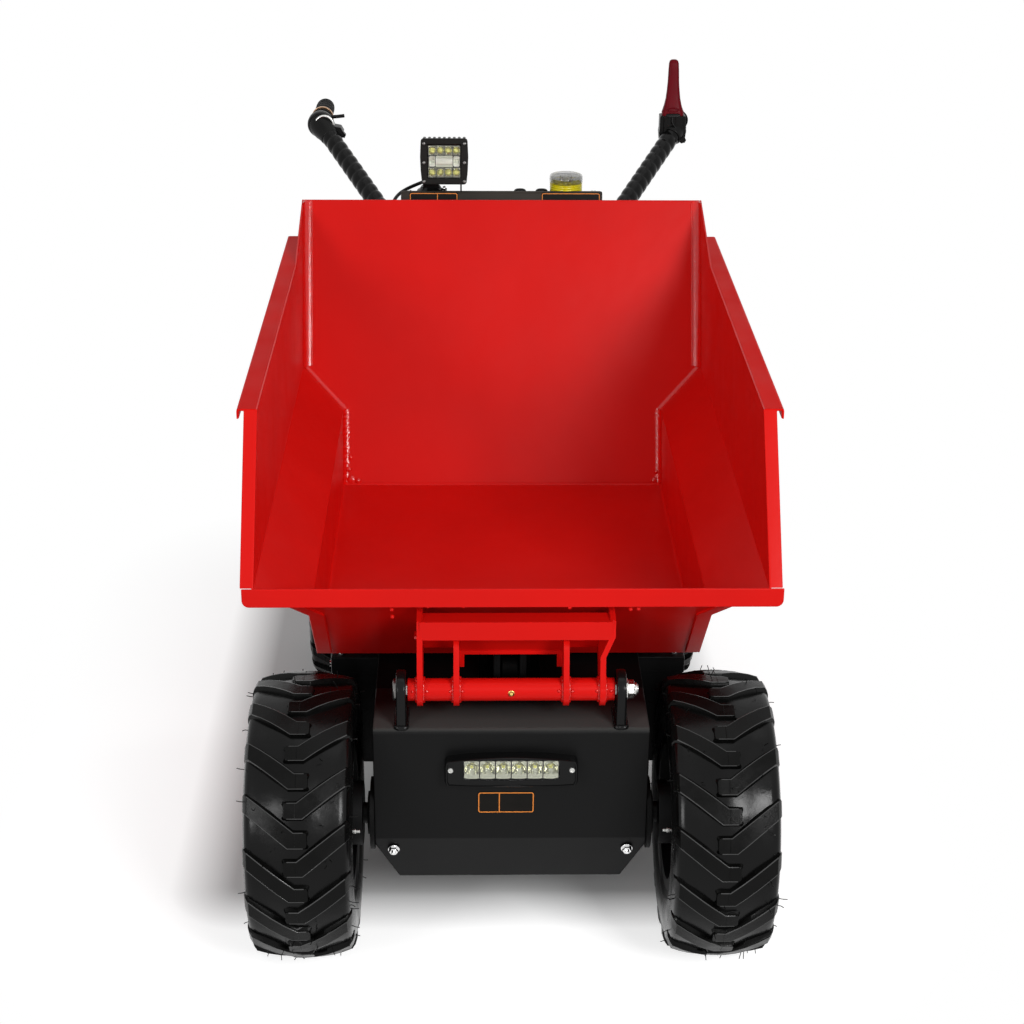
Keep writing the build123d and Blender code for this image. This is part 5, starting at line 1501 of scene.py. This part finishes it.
def make_wheel_details(kind, side_name, side):
    """Wheel bolts, rivets and hub caps of one wheel, and a front wheel's hub nuts and valve."""
    centre = middle(f"{kind}_tyre_{side_name}")
    body = f"{kind}_wheel_{side_name}"
    share, count, size, rivets = WHEELS[kind]
    bright = Piece()
    dark = Piece()
    for face, level in ((side, DISC[1]), (-side, DISC[0])):
        seat = at(*centre) @ outward(face) @ at(0, 0, level)
        for spot in spread(seat, 62 * share, count, 0.25):
            bright.bolt(spot, size)
        dark.lathe([(80 * share, -0.5), (78 * share, 2.2), (74 * share, 2.6)], seat, 56)
        for spot in spread(seat, 86 * share, rivets):
            dark.lathe([(3.4, -1), (3.4, 0.8), (2.4, 1.4)], spot, 16)
    if kind == "front":
        outer = at(*centre) @ outward(side)
        dark.lathe([(34, 28), (33, 32), (26, 36), (12, 37.6), (4, 38)], outer, 48)
        for spot in spread(outer, 39.5, 6, level=30):
            bright.bolt(spot, 4.6)
        y, z = centre.y + VALVE[0], centre.z + VALVE[1]
        root, neck = (Vector((centre.x - side * inward, y, z)) for inward in (20, 60))
        tip = Vector((side * 212, y, z))
        dark.bar([root, neck], 4.4, 16)
        valve = Piece()
        valve.bar([neck, tip], 2.2, 12)
        valve.bar([tip.lerp(neck, 0.25), tip.lerp(neck, 0.45)], 3.4, 12)
        valve.finish(f"valve_{side_name}", "zinc", body, bevel=0.3)
    else:
        for face in (1, -1):
            dark.lathe([(24, 55.2), (23.4, 56.2), (14, 56.6)], at(*centre) @ outward(face), 40)
    bright.finish(f"{kind}_bolts_{side_name}", "zinc", body, bevel=0.3)
    dark.finish(f"{kind}_hub_{side_name}", "cast", body, bevel=0.6)


for name, side in SIDES:
    for kind in WHEELS:
        make_wheel_details(kind, name, side)

# ---------------------------------------------------------------- casters

SWIVEL = 890                  # the casters' swivel axes, back from the front axle
CROWN_WELD = 340              # height of the welds under the forks' crowns


def make_caster_details(name):
    """The rear axle's nuts and washers, the bearing's bolts and the welds of the fork's legs."""
    body = f"caster_{name}"
    axle = middle(f"rear_tyre_{name}")
    low, high = box(f"caster_fork_{name}")
    swivel = Vector((axle.x, behind(SWIVEL), 0))
    bright = Piece()
    weld = Piece()
    for face, x in ((1, high.x), (-1, low.x)):
        bright.lathes(at(x, axle.y, axle.z) @ outward(face),
                      ([(19, -0.5), (19, 1.8), (18.4, 2.4)], 36),
                      ([(13.4, 2), (14.6, 3), (14.6, 10), (13.2, 11.4)], 6),
                      ([(8.6, 10), (8.6, 14), (7.6, 15)], 24))
        weld.bar([Vector((x - face * 7.5, swivel.y + y, CROWN_WELD)) for y in (-40, 40)], 3.2, 8)
    bright.finish(f"caster_axle_{name}", "zinc", body, bevel=0.3)
    plain = Piece()
    for spot in spread(at(*swivel), 34, 4, 0.5, box("rear_beam")[1].z):
        plain.bolt(spot, 6.4)
    plain.finish(f"bearing_bolts_{name}", "zinc", bevel=0.3)
    weld.finish(f"caster_welds_{name}", "gloss_black", body)


for name, _ in SIDES:
    make_caster_details(name)

# ---------------------------------------------------------------- drive and batteries

MOTOR_FINS = 24
BATTERY_INNER = 110           # the battery boxes' inner faces, across
LID = 1.6                     # thickness of their lids, and how far those stand out:
LID_REACH = 1.5
LATCH_HALF = 16


def make_motor():
    """The drive motor's finned case, its end cap with bolts, and its cable box."""
    low, high = box("drive_motor")
    centre = (low + high) / 2
    radius = (high.x - low.x) / 2
    back = facing((centre.x, low.y, centre.z), (0, 1, 0))
    motor = Piece()
    for i in range(MOTOR_FINS):
        place = back @ Matrix.Rotation(2 * math.pi * i / MOTOR_FINS, 4, "Z") @ at(radius, 0, 0)
        motor.prism([(-2, -1.8), (4.2, -1.2), (4.2, 1.2), (-2, 1.8)], 8, 74, place)
    motor.lathes(back,
                 ([(radius + 2, 76), (radius + 2, 86), (radius - 4, 92), (30, 93), (28, 97), (8, 97.5)], 56),
                 ([(radius + 5, 0), (radius + 5, 7), (radius + 2, 8)], 56))
    motor.prism(rounded(slab(-24, 0, 24, 30), 4), 20, 60, back @ at(0, radius - 6, 0))
    motor.finish("motor_case", "cast", bevel=0.6)
    bolts = Piece()
    for spot in spread(back, 48, 6, 0.5, 92.4):
        bolts.bolt(spot, 4.6)
    bolts.finish("drive_bolts", "zinc", bevel=0.3)


def make_batteries():
    """The battery boxes' lids with their screws, and the latches on the outer sides."""
    low, high = box("battery_boxes")
    lids = Piece()
    fasteners = Piece()
    for _, side in SIDES:
        inner, outer = (BATTERY_INNER, high.x) if side > 0 else (low.x, -BATTERY_INNER)
        lids.block((inner - LID_REACH, low.y - LID_REACH, high.z - 26),
                   (outer + LID_REACH, high.y + LID_REACH, high.z + LID))
        for y in (low.y + 70, high.y - 70):
            latch = (outer - 4, outer + 6) if side > 0 else (inner - 6, inner + 4)
            lids.block((latch[0], y - LATCH_HALF, high.z - 60), (latch[1], y + LATCH_HALF, high.z - 20))
            rivet = outer + 6 if side > 0 else inner - 6
            fasteners.lathe([(5, -3), (5, 3)], at(rivet, y, high.z - 46) @ across(), 20)
        for x in (inner + 14, outer - 14):
            for y in (low.y + 14, high.y - 14):
                fasteners.lathe([(5.4, -1), (5.4, 1.6), (4.4, 3.4), (2.6, 3.9)], at(x, y, high.z + LID), 20)
    lids.finish("battery_lids", "black", bevel=1.6)
    fasteners.finish("battery_screws", "chrome", sharp=40)


make_motor()
make_batteries()

# ---------------------------------------------------------------- operator's end

CONSOLE_BACK = (1229.5, 730)  # the middle of the console's rear face, back and up


def make_rear_details():
    """Column flanges with bolts, the beam's end caps, and what is on the console's rear face."""
    low, high = box("rear_beam")
    column_top = box("console_column")[1].z
    plates = Piece()
    plates.block((-96, low.y + 4, high.z), (96, high.y - 4, high.z + 6))
    plates.block((-92, behind(1044), column_top - 6), (92, behind(1150), column_top))
    plates.finish("column_flanges", "black", bevel=1.4)
    bolts = Piece()
    for x in (-84, 84):
        for y in (low.y + 16, high.y - 16):
            bolts.bolt(at(x, y, high.z + 6), 6.4)
    for name, side in SIDES:
        seat = at(side * high.x, (low.y + high.y) / 2, (low.z + high.z) / 2)
        cap = Piece()
        cap.prism(rectangle(56, 44, 4), -2, 3.5, seat @ outward(side))
        cap.finish(f"beam_cap_{name}", "plastic", bevel=1.2)
    back, up = CONSOLE_BACK
    rear = facing((0, behind(back), up), (0, 78, -14)) @ Matrix.Rotation(math.pi, 4, "Z")
    for x in (-160, 160):
        for z in (-28, 28):
            bolts.lathe(SOCKET_HEAD, rear @ at(x, z, 0), 24)
    bolts.finish("rear_bolts", "zinc", bevel=0.3)
    socket = rear @ at(-90, 0, 0)
    port = Piece()
    port.prism(rectangle(64, 52, 8), -1, 4, socket)
    port.lathe([(22, 3), (22, 9), (20, 11), (8, 12), (6, 14), (2, 14.4)], socket, 40)
    port.finish("charging_port", "plastic", bevel=0.8)
    blank_plate("rating", rear @ at(60, 0, 0), 96, 44, 12)


make_rear_details()

# ---------------------------------------------------------------- finish of the CAD nodes

# Edge radius in millimetres, and the CAD nodes that stay and have the finish
CAD_FINISH = {
    "red": (1.4, "bucket_floor bucket_back bucket_side_left bucket_side_right"
                 " pivot_tube hinge_bracket"),
    "black": (1.5, "main_frame rear_beam rear_spine rear_deck console_column"
                   " handlebars battery_boxes"
                   " front_rim_left front_rim_right rear_rim_left rear_rim_right"
                   " caster_fork_left caster_fork_right lift_lug"),
    "cover": (1.5, "front_cover"),
    # Painted shade: the parts that sit in shade take the darker inner black.
    "inner": (1.0, "top_plates controller_box lift_barrel"),
    "gloss_black": (3.0, "pivot_lugs"),
    "cast": (3.0, "axle_housing drive_motor"),
    "rubber": (1.0, "rest_pads"),
    "clear": (0.3, "light_bar_lens work_lamp_lens"),
}


def finish_cad_nodes():
    """Gives every CAD node its finish and rounded edges."""
    for finish, (radius, names) in CAD_FINISH.items():
        for name in names.split():
            node = frame["nodes"][name]
            node.data.materials.clear()
            node.data.materials.append(FINISH[finish])
            soften(node, radius, weld=True)


finish_cad_nodes()

# ---------------------------------------------------------------- floor and light

FLOOR_HALF = 9                # metres
SHADOW_BOX = (0.34, 0.51)     # half the floor kept darker, a painted shadow round the cart's real one, in metres
SHADOW_SHIFT = (0.06, -0.02, 0)    # from its middle to the cart's
SHADOW_GLOW = 0.02            # added to the lit floor there; less than round it, which paints the shadow darker
FLOOR_GLOW = 0.62             # and round it, just short of white
GLOW_START = 0.02             # metres out of the shadow box
GLOW_END = 0.12
FADE_START = 0.10             # metres from there to where the floor turns white
FADE_END = 0.42
FAR_GLOW = 0.4                # what the far floor gives to rays that light the cart
WHITE = (1, 1, 1)
WORLD_LIGHT = 0.25
LIGHTS = (                    # name, place, target, size, power
    ("key", (1.8, -3.6, 2.4), (0, -0.2, 0.5), (1.2, 1.2), 108),
    ("fill", (-2.3, -3.3, 1.8), (0, -0.2, 0.5), (1.2, 1.2), 46),
    ("top", (0.2, 0.2, 3.6), (0, 0, 0.4), (2.6, 2.6), 12),
)


def background_rays(tree):
    """1 for the rays that show the background: the camera's, reflected and refracted ones."""
    path = tree.nodes.new("ShaderNodeLightPath")
    total = path.outputs["Is Camera Ray"]
    for name in ("Is Glossy Ray", "Is Transmission Ray"):
        add = tree.nodes.new("ShaderNodeMath")
        add.operation = "ADD"
        add.use_clamp = True
        tree.links.new(total, add.inputs[0])
        tree.links.new(path.outputs[name], add.inputs[1])
        total = add.outputs[0]
    return total


def area_light(name, place, target, size, power):
    """A soft rectangular light, in metres, that points at the target."""
    data = bpy.data.lights.new(name, "AREA")
    data.shape = "RECTANGLE"
    data.size, data.size_y = size
    data.energy = power
    light = bpy.data.objects.new(name, data)
    turn = (Vector(target) - Vector(place)).to_track_quat("-Z", "Y").to_matrix().to_4x4()
    light.matrix_world = Matrix.Translation(place) @ turn
    bpy.context.scene.collection.objects.link(light)


def make_floor():
    """A pale floor that keeps the cart's shadow, darkened further by a painted shadow where its glow is
    lower, and turns white further out.
    """
    mesh = bpy.data.meshes.new("floor")
    corners = slab(-FLOOR_HALF, -FLOOR_HALF, FLOOR_HALF, FLOOR_HALF)
    mesh.from_pydata([(x, y, 0) for x, y in corners], [], [(0, 1, 2, 3)])
    floor = bpy.data.objects.new("floor", mesh)
    bpy.context.scene.collection.objects.link(floor)
    pale = Shader("pale_floor", grey(0.8), 0.9, shine=0.0)
    pale.clouded(2, 0.01)
    seen = background_rays(pale.tree)
    spot = pale.place
    for operation, other in (("ADD", SHADOW_SHIFT), ("ABSOLUTE", None), ("SUBTRACT", (*SHADOW_BOX, 0)),
                             ("MAXIMUM", None), ("LENGTH", None)):
        step = pale.node("ShaderNodeVectorMath", operation=operation)
        pale.join(spot, step.inputs[0])
        if other:
            step.inputs[1].default_value = other
        spot = step.outputs["Value" if operation == "LENGTH" else "Vector"]
    fade = pale.ranged(spot, 0, 1, FADE_START, FADE_END)
    glow = pale.ranged(spot, SHADOW_GLOW, FLOOR_GLOW, GLOW_START, GLOW_END)
    strength = pale.product(seen, glow)
    lit = pale.node("ShaderNodeAddShader")
    pale.join(pale.shader.outputs["BSDF"], lit.inputs[0])
    pale.join(pale.emission(strength), lit.inputs[1])
    total = pale.node("ShaderNodeMixShader")
    pale.join(fade, total.inputs[0])
    pale.join(lit.outputs["Shader"], total.inputs[1])
    pale.join(pale.emission(pale.ranged(seen, FAR_GLOW, 1.0, 0, 1)), total.inputs[2])
    pale.join(total.outputs["Shader"], pale.tree.nodes["Material Output"].inputs["Surface"])
    mesh.materials.append(pale.material)


def make_world():
    """Even light all round, and a white background where the camera or a reflection sees it."""
    world = bpy.data.worlds.new("studio")
    world.use_nodes = True
    bpy.context.scene.world = world
    tree = world.node_tree
    light = tree.nodes["Background"]
    light.inputs["Color"].default_value = (*WHITE, 1)
    strength = tree.nodes.new("ShaderNodeMapRange")
    strength.inputs["To Min"].default_value = WORLD_LIGHT
    strength.inputs["To Max"].default_value = 1.0
    tree.links.new(background_rays(tree), strength.inputs["Value"])
    tree.links.new(strength.outputs["Result"], light.inputs["Strength"])


make_floor()
make_world()
for light in LIGHTS:
    area_light(*light)
bpy.context.scene.view_settings.view_transform = "Standard"
